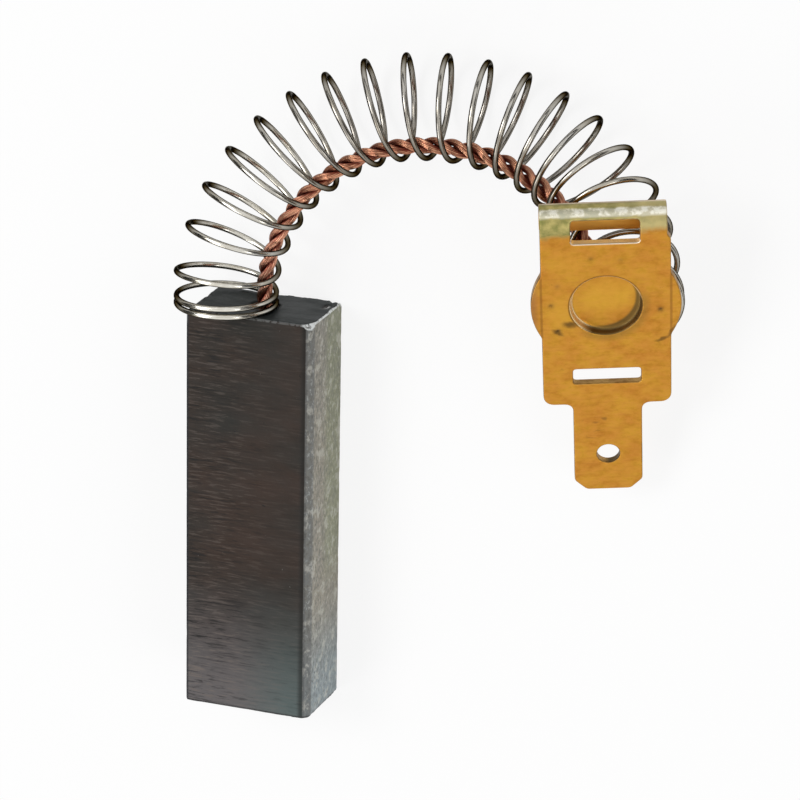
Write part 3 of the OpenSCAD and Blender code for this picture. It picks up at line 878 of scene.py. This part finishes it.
# %% The solder spot
solder = Patches()
turned(solder, [(SHUNT_BORE, 0.012), (1.1, 0.012), (1.3, 0.012), (1.44, 0.012), (1.45, 0.03),
                (1.42, 0.07), (1.3, 0.13), (1.17, 0.24), (1.05, 0.4), (0.96, 0.58), (0.91, 0.76),
                (0.88, 0.86), (0.84, 0.92), (SHUNT_BORE + 0.01, 0.93), (SHUNT_BORE, 0.9),
                (SHUNT_BORE, 0.5), (SHUNT_BORE, 0.012)],
       SPRING_FACE + solder_at, PLATE[:, 1], PLATE[:, 0], -BOSS_NORMAL, wave=0.02, seed=61,
       steps=72, flip=True)
solder.piece("solder_spot", "shunt_solder")

# %% [markdown]
# ## Finishes
# Each finish is a Principled BSDF whose colour, roughness and bump come from noise at the
# scale of the real one. What several finishes share is built once as a node group: streaks
# that run one way, and sparse spots. A group gives out only masks, and the shader stays in
# the material. A colour is built up as a painter does it: a ground, then one paint after
# another, each with its own share.


# %% Short ways to write nodes
class Nodes:
    """Adds nodes to one tree. Each input is a number, a colour or another node's socket."""

    def __init__(self, tree):
        self.tree = tree

    def add(self, kind, inputs=None, **settings):
        """Adds a shader node, changes its settings, and links or sets the named inputs."""
        made = self.tree.nodes.new("ShaderNode" + kind)
        for key, value in settings.items():
            setattr(made, key, value)
        for key, value in (inputs or {}).items():
            if isinstance(value, bpy.types.NodeSocket):
                self.tree.links.new(value, made.inputs[key])
            else:
                made.inputs[key].default_value = value
        return made

    def calc(self, operation, *values, clamp=False):
        """One kind of sum, carried through all the values from left to right."""
        total = values[0]
        for value in values[1:]:
            total = self.add("Math", {0: total, 1: value}, operation=operation,
                             use_clamp=clamp).outputs[0]
        return total

    def times(self, *values):
        """Product of all the values."""
        return self.calc("MULTIPLY", *values)

    def unsigned(self, value):
        """The value without its sign."""
        return self.add("Math", {0: value}, operation="ABSOLUTE").outputs[0]

    def vector(self, operation, *values):
        """One sum of vectors."""
        return self.add("VectorMath", dict(enumerate(values)), operation=operation).outputs[0]

    def split(self, vector):
        """The three numbers of a vector."""
        return self.add("SeparateXYZ", {0: vector}).outputs

    def away(self, vector, centre):
        """Distance from a centre, counted in the first two numbers only."""
        flat = self.vector("MULTIPLY", vector, (1, 1, 0))
        return self.add("VectorMath", {0: flat, 1: (*centre, 0)},
                        operation="DISTANCE").outputs["Value"]

    def band(self, value, low, high, to_low=0, to_high=1):
        """Smooth step of a value from low to high."""
        return self.add("MapRange", {"Value": value, "From Min": low, "From Max": high,
                                     "To Min": to_low, "To Max": to_high},
                        interpolation_type="SMOOTHSTEP").outputs[0]

    def between(self, value, low, low_in, high_in, high):
        """1 from low_in to high_in, falling to 0 at low and at high."""
        return self.times(self.band(value, low, low_in), self.band(value, high_in, high, 1, 0))

    def blend(self, share, a, b):
        """Colour a, turned into colour b by the share."""
        a, b = (c if isinstance(c, bpy.types.NodeSocket) else (*c, 1) for c in (a, b))
        return self.add("Mix", {"Factor": share, 6: a, 7: b}, data_type="RGBA").outputs[2]


# %% Node groups with named sockets
def shader_group(name, inputs, outputs):
    """Empty node group with the named sockets, and its inner input and output sockets."""
    tree = bpy.data.node_groups.new(name, "ShaderNodeTree")
    for key, kind, value in inputs:
        socket = tree.interface.new_socket(key, in_out="INPUT", socket_type="NodeSocket" + kind)
        socket.default_value = value
    for key in outputs:
        tree.interface.new_socket(key, in_out="OUTPUT", socket_type="NodeSocketFloat")
    return tree, tree.nodes.new("NodeGroupInput").outputs, tree.nodes.new("NodeGroupOutput").inputs


# %% Shared effects
STREAKS, given, gives = shader_group(
    "streaks", [("Vector", "Vector", (0, 0, 0)), ("Stretch", "Vector", (1, 1, 1)),
                ("Size", "Float", 1.0), ("Contrast", "Float", 2.0)], ["Soft", "Fine"])
n = Nodes(STREAKS)
stretched = n.vector("MULTIPLY", given["Vector"], given["Stretch"])
for key, detail in (("Soft", 3.0), ("Fine", 9.0)):
    noise = n.add("TexNoise", {"Vector": stretched, "Scale": given["Size"], "Detail": detail,
                               "Roughness": 0.62}).outputs[0]
    raised = n.times(n.calc("SUBTRACT", noise, 0.5), given["Contrast"])
    STREAKS.links.new(n.calc("ADD", raised, 0.5, clamp=True), gives[key])

SPOTS, given, gives = shader_group(
    "spots", [("Vector", "Vector", (0, 0, 0)), ("Size", "Float", 1.0),
              ("Threshold", "Float", 0.65), ("Softness", "Float", 0.05)], ["Mask"])
n = Nodes(SPOTS)
noise = n.add("TexNoise", {"Vector": given["Vector"], "Scale": given["Size"], "Detail": 4.0,
                           "Roughness": 0.7}).outputs[0]
over = n.calc("SUBTRACT", noise, given["Threshold"])
SPOTS.links.new(n.calc("DIVIDE", over, given["Softness"], clamp=True), gives["Mask"])
print("groups:", [group.name for group in bpy.data.node_groups])


# %% A finish that is built up in paints
class Finish(Nodes):
    """A material with one Principled BSDF, and the colour that its paints give so far."""

    def __init__(self, slot, names, **constants):
        """Steady values are set on the shader's own sockets."""
        material = bpy.data.materials.new(slot)
        material.use_nodes = True
        super().__init__(material.node_tree)
        self.slot = slot
        self.shader = self.tree.nodes["Principled BSDF"].inputs
        for key, value in constants.items():
            self.shader[key.replace("_", " ")].default_value = value
        for name in names:
            materials = bpy.data.objects[name].data.materials
            materials.clear()
            materials.append(material)

    def in_mm(self):
        """Object coordinates counted in mm."""
        return self.add("Mapping", {"Vector": self.add("TexCoord").outputs["Object"],
                                    "Scale": (1 / MM,) * 3}).outputs[0]

    def carried_value(self, name, output="Vector"):
        """A value that the mesh carries on its points."""
        return self.add("Attribute", attribute_name=name).outputs[output]

    def streaks(self, vector, stretch, size, contrast):
        """The group of streaks with this finish's own values."""
        return self.add("Group", {"Vector": vector, "Stretch": stretch, "Size": size,
                                  "Contrast": contrast}, node_tree=STREAKS).outputs

    def spots(self, vector, size, threshold, softness):
        """The group of spots with this finish's own values."""
        return self.add("Group", {"Vector": vector, "Size": size, "Threshold": threshold,
                                  "Softness": softness}, node_tree=SPOTS).outputs["Mask"]

    def turned_away(self):
        """0 where the surface faces the eye, nearly 1 at its outline."""
        return self.add("LayerWeight", {"Blend": 0.5}).outputs["Facing"]

    def paint(self, colour, *shares):
        """Turns the colour so far into another by the product of the shares."""
        self.colour = self.blend(self.times(*shares), self.colour, colour)

    def note(self, what):
        """Prints how far the finish has come."""
        print(f"{self.slot}: {what}, {len(self.tree.nodes)} nodes")

    def done(self, roughness, height, strength, reach):
        """Links colour and roughness, and a bump whose height of 1 stands for reach mm."""
        bump = self.add("Bump", {"Height": height, "Strength": strength,
                                 "Distance": reach * MM}).outputs[0]
        for key, value in (("Base Color", self.colour), ("Roughness", roughness),
                           ("Normal", bump)):
            self.tree.links.new(value, self.shader[key])
        self.note("done")


# %% [markdown]
# ### Ground carbon
# Pressed carbon is dark grey with a faint brown. The broad faces carry fine marks across
# the block from the grinding wheel, and turn a lighter, bluish grey towards the far end as a
# painted sheen. The narrow side is speckled and painted much lighter and bluish, which stands
# for the light and sheen that fall on it, and the rounded edge between them is painted as a
# band of shade. The cut spring end is nearly black: a darker finish from the saw, with
# painted shade under the coil. Broken edges at the spring end are painted bright, partly
# crushed grains and partly a painted highlight.

# %% Patterns of the carbon
SIDE_X, END_Y = BLOCK_W / 2, BLOCK_L / 2
f = Finish("carbon", ["ground_carbon_block"], Metallic=0.0, Specular_IOR_Level=0.19)
spot = f.in_mm()
x, y, z = f.split(spot)
worn = f.carried_value("worn", "Fac")
dashes = f.streaks(spot, (0.11, 1, 0.3), 4.2, 4)
marks = f.streaks(spot, (0.2, 1, 0.5), 0.9, 4)
wide = f.streaks(spot, (0.6, 1, 1), 0.17, 2.6)
grain = f.streaks(spot, (1, 0.6, 1), 3, 4)
blotch = f.streaks(spot, (1, 0.7, 1), 0.8, 4.5)
pits = f.spots(spot, 0.9, 0.70, 0.03)
glints = f.spots(spot, 2.1, 0.735, 0.03)
f.note("patterns")

# %% Broad faces of the carbon
brown = f.blend(wide["Soft"], (0.034, 0.020, 0.014), (0.018, 0.016, 0.013))
# Painted sheen: the broad faces turn from brown to a lighter grey towards the far end, bluish on
# the right.
grey = f.blend(f.band(x, -2, 5), (0.112, 0.103, 0.104), (0.084, 0.109, 0.107))
f.colour = f.blend(f.band(y, -21, -5), grey, brown)
to_left = f.times(f.band(x, -5, 3.5, 1, 0.3), f.band(x, 0.02 - SIDE_X, 0.12 - SIDE_X))
f.paint((0.150, 0.124, 0.108), f.band(dashes["Fine"], 0.62, 0.98), to_left,
        f.band(y, -17, -6, 0.6, 0.26))
f.paint((0.006, 0.006, 0.006), f.band(dashes["Fine"], 0.42, 0.10), to_left,
        f.band(marks["Soft"], 0.1, 0.9, 0.25, 0.8))
f.paint((0.008, 0.011, 0.016), f.band(x, -5.95, -6.25, 0, 0.8))
# Painted shade: the broad face darkens where it turns into the rounded long edge.
f.paint((0.010, 0.010, 0.009), f.band(x, SIDE_X - 1.25, SIDE_X - 0.75, 0, 0.65))
broad = f.colour
f.note("broad faces")

# %% Narrow side of the carbon
# Painted light: the narrow side is given a much lighter, bluish colour than the broad faces,
# standing for the light and sheen that fall on it.
f.colour = f.blend(f.band(y, -18, -8), (0.290, 0.345, 0.365), (0.330, 0.305, 0.245))
f.paint((0.200, 0.205, 0.190), f.band(y, 6, 19, 0, 0.35))
f.paint((0.270, 0.300, 0.170), f.band(z, 5, 3), f.band(y, -9, -3), 0.6)
f.paint((0.165, 0.172, 0.170), f.band(z, BLOCK_T - 1.15, BLOCK_T - 0.8),
        f.band(grain["Soft"], 0.9, 0.2, 0.5, 1))
f.paint((0.160, 0.160, 0.150), blotch["Fine"], 0.42)
f.paint((0.50, 0.49, 0.44), f.band(blotch["Fine"], 0.35, 0, 0, 0.55))
f.paint((0.085, 0.088, 0.085), f.band(grain["Fine"], 0.45, 0.95), f.band(z, 1, 6.5, 0.55, 1),
        0.62)
f.paint((0.52, 0.53, 0.50), f.band(grain["Fine"], 0.2, 0.03, 0, 0.4))
f.note("narrow side")

# %% Both together, with the edges and the sawn end
on_side = f.band(x, SIDE_X - 0.62, SIDE_X - 0.52)
f.colour = f.blend(on_side, broad, f.colour)
# Painted shade: a grey band on the rounded edge, between the dark broad face and the lighter
# narrow side.
f.paint((0.050, 0.050, 0.052), on_side, f.band(x, SIDE_X - 0.50, SIDE_X - 0.36, 1, 0), 0.5)
f.paint((0.010, 0.010, 0.010), f.band(y, 0.35 - END_Y, 0.12 - END_Y, 0, 0.8))
# The spring end is painted nearly black: a darker finish from the saw, and painted shade under the
# coil.
sawn_and_shaded = f.blend(f.times(grain["Soft"], 0.5), (0.017, 0.023, 0.023), (0.009, 0.011, 0.011))
on_end = f.band(y, END_Y - 0.1, END_Y - 0.03)
f.paint(sawn_and_shaded, on_end)
f.paint((0.006, 0.006, 0.006), pits, 0.8)
f.paint((0.42, 0.42, 0.40), glints, 0.6)
# Broken edges at the spring end are painted bright, most of all by the narrow side: partly crushed
# grains, partly a painted highlight.
f.paint((0.80, 0.83, 0.83), f.band(worn, 0.05, 0.35), f.band(grain["Soft"], 0, 0.55),
        f.band(y, END_Y - 1.6, END_Y - 0.9),
        f.band(f.band(x, SIDE_X - 1.3, SIDE_X - 0.5), 0, 1, 0.12, 0.94))
height = f.calc("ADD", f.times(f.band(on_end, 0, 1, 0.8, 0.1), dashes["Fine"]),
                f.times(grain["Fine"], 0.4), f.times(pits, -0.8))
f.done(f.band(marks["Fine"], 0, 1, 0.48, 0.62), height, 0.6, 0.04)

# %% [markdown]
# ### Spring wire, copper, plug and solder
# Drawn spring wire is bright with faint lines along it and a warm tint. It is painted darker
# towards the right of the arch and towards its outline, as painted shade. The copper wires
# have tarnished unevenly. Each fine wire carries a value on its mesh that is partly its own
# colour and partly painted shade between the strands, and the outer wires carry painted
# highlights.

# %% Spring steel
f = Finish("spring_steel", ["wound_spring"], Metallic=1.0, Specular_Tint=(0.12, 0.11, 0.08, 1))
spot = f.in_mm()
lines = f.streaks(f.carried_value("run"), (0.35, 16, 1), 1.2, 3)
dulled = f.streaks(spot, (1, 1, 1), 0.35, 3)
f.colour = f.blend(lines["Soft"], (0.96, 0.95, 0.90), (0.66, 0.64, 0.57))
f.paint((0.42, 0.36, 0.25), dulled["Soft"], 0.6)
# Painted shade: the coils darken towards the right of the arch, less at its outer tips.
f.paint((0.105, 0.086, 0.072), f.band(f.split(spot)[0], -4, 9, 0, 0.80),
        f.band(f.away(spot, (17, 21)), 21, 24.5, 1, 0.55),
        f.band(dulled["Fine"], 0.1, 0.6, 1, 0.75))
# Painted shade: the wire darkens towards its outline as the lens sees it, standing in for dark
# things it would mirror.
f.paint((0.145, 0.130, 0.105), f.band(f.turned_away(), 0.14, 0.6))
f.done(f.band(lines["Fine"], 0, 1, 0.12, 0.26), lines["Fine"], 0.3, 0.01)

# %% Copper
f = Finish("copper", [f"copper_strand_{k + 1}" for k in range(3)], Metallic=1.0)
run = f.carried_value("run")
tone_and_shade = f.split(run)[2]
spot = f.in_mm()
tarnish = f.streaks(spot, (1, 1, 1), 0.55, 2.6)
fine = f.streaks(run, (0.8, 6, 3), 1.6, 2.6)
# The copper is painted lighter and warmer near the block and darker further right.
beyond = f.band(f.split(spot)[0], -4, 7)
f.colour = f.blend(beyond, (0.88, 0.38, 0.26), (0.55, 0.245, 0.15))
# Painted shade between the strands and on the core, mixed with each fine wire's own colour, from
# the value the mesh carries.
f.paint((0.10, 0.014, 0.009), tone_and_shade)
f.paint((0.21, 0.030, 0.018), tarnish["Soft"], 0.7)
# Painted highlights: bright streaks along the fine wires that lie outwards, brighter near the
# block.
f.paint(f.blend(beyond, (1.0, 0.70, 0.50), (0.86, 0.50, 0.30)), fine["Soft"],
        f.band(tone_and_shade, 0.5, 0.1, 0, 0.8))
# Painted shade: the copper darkens towards its outline as the lens sees it.
f.paint((0.10, 0.020, 0.012), f.band(f.turned_away(), 0.25, 0.7, 0, 0.6))
f.done(f.band(tarnish["Fine"], 0, 1, 0.20, 0.42), fine["Fine"], 0.4, 0.012)

# %% Plug and solder
f = Finish("tamped_copper", ["tamped_plug"], Metallic=0.35)
spot = f.in_mm()
grain = f.streaks(spot, (1, 1, 1), 4.5, 3.5)
flecks = f.spots(spot, 6, 0.6, 0.05)
f.colour = f.blend(grain["Fine"], (0.10, 0.052, 0.035), (0.018, 0.016, 0.015))
f.paint((0.42, 0.18, 0.10), flecks)
f.done(f.band(flecks, 0, 1, 0.75, 0.35), grain["Fine"], 0.7, 0.06)

f = Finish("solder", ["solder_spot"], Metallic=0.9)
cloudy = f.streaks(f.in_mm(), (1, 1, 1), 1.3, 2.5)
f.colour = f.blend(cloudy["Soft"], (0.58, 0.58, 0.56), (0.36, 0.35, 0.33))
f.done(f.band(cloudy["Fine"], 0, 1, 0.28, 0.5), cloudy["Fine"], 0.35, 0.03)

# %% [markdown]
# ### Brass
# Rolled brass has a fine grain across the strip, and darker and yellower clouds where hands
# and heat have stained it. The fold is painted khaki green as a painted reflection, with painted
# highlight lines along it.
# The blank value on the mesh holds the place on the flat sheet, so the pattern bends with
# the hook as the real grain does.

# %% Rolled brass
FOLD_CREST = HOOK_Y + math.radians(62) * FOLD_R
YELLOWED, SOILED = (0.66, 0.36, 0.040), (0.115, 0.060, 0.014)
f = Finish("brass", ["folded_terminal"], Metallic=0.9)
blank = f.carried_value("blank")
across, up_sheet, depth = f.split(blank)
rolled = f.streaks(blank, (0.2, 1, 1), 2.6, 3.4)
clouds = f.streaks(blank, (0.8, 1, 1), 0.45, 3.6)
mottle = f.streaks(blank, (0.7, 1, 1), 1.4, 3.4)
stains = f.spots(blank, 0.8, 0.62, 0.12)
f.colour = f.blend(clouds["Soft"], (0.57, 0.290, 0.027), (0.47, 0.190, 0.021))
f.paint((0.62, 0.275, 0.046), mottle["Soft"], 0.6)
f.paint((0.38, 0.155, 0.016), f.band(mottle["Fine"], 0.45, 0, 0, 0.22))
f.paint((0.36, 0.145, 0.018), f.band(rolled["Fine"], 0.5, 0), 0.22)
f.paint((0.36, 0.165, 0.018), stains, 0.6)
f.paint((0.26, 0.115, 0.020), f.spots(blank, 1.7, 0.66, 0.06), 0.45)
f.note("rolled sheet")

# %% Places on the brass that differ
wobble = f.add("TexNoise", {"Vector": blank, "Scale": 1.6, "Detail": 3.0}).outputs["Color"]
wobble = f.vector("SUBTRACT", wobble, (0.5, 0.5, 0.5))
shaken = f.vector("MULTIPLY_ADD", wobble, (0.5, 0.5, 0), blank)


def patch(x, y, half_x, half_y, turned_by, soft=0.5):
    """1 inside a turned ellipse on the blank, falling to 0 round it."""
    moved = f.add("Mapping", {"Vector": shaken, "Location": (x, y, 0),
                              "Rotation": (0, 0, math.radians(turned_by)),
                              "Scale": (half_x, half_y, 1e3)}, vector_type="TEXTURE").outputs[0]
    reach = f.add("VectorMath", {0: moved}, operation="LENGTH").outputs["Value"]
    return f.band(reach, 1 - soft, 1 + soft, 1, 0)


# Each row: middle, half sizes, turn in degrees, and how much of the paint shows.
for *shape, amount in [(0.2, 0.6, 2.6, 2.0, 10, 0.55), (-4.2, -0.8, 1.3, 2.4, 0, 0.35),
                       (-3.6, 5.0, 1.6, 1.2, 0, 0.3)]:
    f.paint(YELLOWED, patch(*shape), amount)
for *shape, amount in [(-3.3, -1.95, 0.62, 0.32, 0, 0.85), (-4.4, -2.85, 0.5, 0.2, -30, 0.8),
                       (5.0, -3.95, 0.5, 0.16, 15, 0.75), (5.85, -3.1, 0.8, 0.15, 60, 0.7),
                       (-0.35, -12.9, 0.22, 0.16, 0, 0.5), (-1.1, -13.3, 0.3, 0.1, 10, 0.35),
                       (-1.6, -15.2, 0.5, 0.08, 0, 0.3), (-0.9, -14.3, 0.4, 0.07, 5, 0.3)]:
    f.paint(SOILED, patch(*shape, soft=0.7), f.band(depth, 0.3, 0.5, amount, 0))
sideways = f.unsigned(across)
f.paint((0.20, 0.085, 0.016), f.between(sideways, 5.68, 5.80, 5.90, 6.02),
        f.band(f.unsigned(up_sheet), 3.2, 3.7, 0.5, 0), f.band(depth, 0.1, 0.3, 1, 0))
# Painted shade: the left ear darkens towards its outer rim.
f.paint((0.27, 0.130, 0.055), f.band(across, -5.9, -6.7, 0, 0.55))
f.note("stained places")

# %% Recess
from_boss = f.away(blank, (0, 0))
on_face = f.band(depth, 0.3, 0.5, 1, 0)
lower_right = f.band(f.calc("SUBTRACT", f.times(across, 0.75), up_sheet), 0.4, 2.2)
upper_left = f.band(f.calc("SUBTRACT", up_sheet, f.times(across, 0.6)), -2, 0.6, 0.1, 0.7)
# Painted highlight and shade on the recess wall: bright round most of it, dark at the lower right.
f.paint(f.blend(lower_right, (1.0, 0.80, 0.46), (0.085, 0.065, 0.026)),
        f.between(from_boss, 3.0, 3.1, 3.27, 3.36), 0.92)
# Painted shade: a thin dark line along the upper left of the recess rim.
f.paint((0.18, 0.085, 0.016), f.between(from_boss, 3.30, 3.36, 3.40, 3.52), upper_left, on_face)
# Painted shadow: a dark crescent on the recess floor by its lower right wall.
f.paint((0.125, 0.085, 0.026), f.band(f.away(blank, (-0.55, 0.45)), 3.1, 3.4, 0, 0.85),
        f.band(from_boss, 3.05, 3.1, 1, 0))
# Painted shade: a soft dark halo on the face outside the recess rim, at the lower right.
f.paint((0.22, 0.125, 0.026), f.band(from_boss, 3.36, 4.3, 0.5, 0),
        f.band(from_boss, 3.30, 3.36), lower_right, on_face)
f.note("recess")

# %% Fold of the hook
# Painted reflection: the fold is painted khaki and greener, paler on the right, standing for what
# its bent face reflects; stains show brown on it.
fold_start = f.calc("ADD", up_sheet, f.times(mottle["Soft"], 0.3), f.times(across, -0.05))
fold_out = f.band(up_sheet, FOLD_END - 1.9, FOLD_END - 1.2, 1, 0)
fold = f.times(f.band(fold_start, 7.75, 8.65), fold_out)
khaki = f.blend(mottle["Fine"], (0.48, 0.40, 0.15), (0.22, 0.215, 0.065))
khaki = f.blend(f.band(across, -1, 5, 0, 0.6), khaki, (0.50, 0.41, 0.20))
f.paint(f.blend(f.times(stains, 0.5), khaki, (0.25, 0.17, 0.10)), fold)
# Painted highlights: a bright line along the crest of the fold, and a second one nearer its top.
crest_line = f.calc("ADD", up_sheet, f.times(mottle["Fine"], 0.12))
crest_highlight = f.times(f.between(crest_line, *(FOLD_CREST + k for k in (-0.4, -0.15, 0.25, 0.5))),
                 f.band(mottle["Fine"], 0.75, 0.2, 0.45, 1))
top_line = f.times(f.band(up_sheet, FOLD_CREST + 0.9, FOLD_CREST + 1.1, 0, 0.8), fold_out)
f.paint((1.0, 0.97, 0.84), f.calc("MAXIMUM", crest_highlight, top_line), on_face)
# Painted light: the inner face at the end of the fold and on the leaf, seen through the upper
# slot, is painted bright orange.
f.paint((1.0, 0.60, 0.13), f.band(up_sheet, FOLD_END - 1.2, FOLD_END - 0.2),
        f.band(depth, 0.5, 0.75))
f.note("fold")

# %% Stake marks and cut edges
f.paint(SOILED, f.carried_value("mark", "Fac"), 0.9)
cut = f.times(f.between(depth, 0, 0.07, 0.7, 0.78), f.band(from_boss, 3.6, 3.8))
f.paint(f.blend(mottle["Fine"], (0.46, 0.30, 0.11), (0.13, 0.075, 0.024)), cut, 0.75)
# Painted highlight: the cut wall under the upper slot is painted nearly white.
f.paint((1.0, 0.93, 0.80), f.between(up_sheet, 6.6, 6.8, 7.15, 7.3),
        f.band(sideways, 3.3, 3.5, 0.9, 0), cut)
# Painted shade: the wall of the tab's hole is darkened on its right half.
f.paint((0.040, 0.024, 0.008), cut, f.band(across, -0.5, 0.2), 0.85,
        f.between(up_sheet, *(TAB_HOLE_Y + k for k in (-1.2, -1.1, 1.1, 1.2))))
height = f.calc("ADD", rolled["Fine"], f.times(fold, mottle["Fine"], 2))
f.done(f.band(clouds["Fine"], 0, 1, 0.38, 0.50), height, 0.4, 0.014)

# %% [markdown]
# ## Floor, background and light
# The brush lies on a pale floor. Camera rays, and the rays that metal reflects, see the
# floor and the world as nearly white, while the floor still shows the soft shadow. Large
# lamps give plain soft light, at a level where a colour shows about as it is written.


# %% Floor and world
def pale_rays(nodes):
    """1 for camera rays and for rays mirrored or passed on by a surface."""
    path = nodes.add("LightPath").outputs
    return nodes.calc("MAXIMUM", path["Is Camera Ray"], path["Is Glossy Ray"],
                      path["Is Transmission Ray"])


def staged_sheet(name, corners, material):
    """Flat sheet of the set, given by its four corners in metres."""
    mesh = bpy.data.meshes.new(name)
    mesh.from_pydata(corners, [], [(0, 1, 2, 3)])
    mesh.materials.append(material)
    sheet = linked(name, mesh)
    return sheet


FLOOR_SPAN, FLOOR_DROP = 3.0, 0.02 * MM
FLOOR_GLOW, SKY_GLOW, SKY_LIGHT = 0.85, 0.55, 0.45
paper = bpy.data.materials.new("pale_floor")
paper.use_nodes = True
n = Nodes(paper.node_tree)
n.tree.nodes.clear()
dull = n.add("BsdfDiffuse", {"Color": (0.86, 0.86, 0.86, 1)}).outputs[0]
glow = n.add("Emission", {"Color": (1, 1, 1, 1), "Strength": 1.0}).outputs[0]
share = n.times(pale_rays(n), FLOOR_GLOW)
mixed = n.add("MixShader", {0: share, 1: dull, 2: glow}).outputs[0]
n.add("OutputMaterial", {"Surface": mixed})
staged_sheet("floor", [(x * FLOOR_SPAN, y * FLOOR_SPAN, -FLOOR_DROP)
                       for x, y in ((-1, -1), (1, -1), (1, 1), (-1, 1))], paper)

scene.world = bpy.data.worlds.new("studio")
scene.world.use_nodes = True
n = Nodes(scene.world.node_tree)
sky = n.tree.nodes["Background"].inputs
sky["Color"].default_value = (1, 1, 1, 1)
n.tree.links.new(n.calc("ADD", n.times(pale_rays(n), SKY_GLOW), SKY_LIGHT), sky["Strength"])
print("floor", 2 * FLOOR_SPAN, "m wide, sky light", SKY_LIGHT)


# %% Lamps
def soft_lamp(name, aim, place_mm, size_mm, watts):
    """Square lamp at a place, facing the aim."""
    lamp = bpy.data.lights.new(name, "AREA")
    lamp.shape, lamp.size, lamp.energy = "SQUARE", size_mm * MM, watts
    away = unit(np.array(place_mm, float) - np.array(aim, float))
    across_lamp = unit(np.cross((0.1, 1, 0.05), away))
    linked(name, lamp).matrix_world = stood(across_lamp, np.cross(away, across_lamp), away,
                                            np.array(place_mm) * MM)
    print(name, watts, "W at", place_mm)


MIDDLE = (15, 10, 5)
soft_lamp("key", MIDDLE, (-260, 160, 420), 240, 1.1)
soft_lamp("fill", MIDDLE, (420, -60, 260), 300, 0.8)
soft_lamp("low", MIDDLE, (-300, -260, 330), 260, 0.7)

# %% [markdown]
# Bright wire shows its form by what it mirrors. In an all-white room it would fade into the
# background, so dark cards stand beside the set, and only mirrored rays see them.

# %% Dark cards
CARD_HALF_WIDTH, CARD_FOOT = 330, 10
card_finish = bpy.data.materials.new("dark_card")
card_finish.use_nodes = True
card_shader = card_finish.node_tree.nodes["Principled BSDF"].inputs
card_shader["Base Color"].default_value = (0.02, 0.02, 0.02, 1)
card_shader["Roughness"].default_value = 1.0
for name, foot, high, away in (("card_left", (-330, 20), 330, (1, 0)),
                               ("card_right", (360, 20), 300, (-1, 0)),
                               ("card_far", (10, 400), 110, (0, -1))):
    wide = np.array([-away[1], away[0]], float) * CARD_HALF_WIDTH
    card = staged_sheet(name, [(*((foot + k * wide) * MM), z * MM) for k, z in (
        (-1, CARD_FOOT), (1, CARD_FOOT), (1, high), (-1, high))], card_finish)
    card.visible_camera = card.visible_diffuse = card.visible_shadow = False
    print(name, 2 * CARD_HALF_WIDTH, "mm wide, up to", high, "mm")

scene.view_settings.view_transform = "Standard"
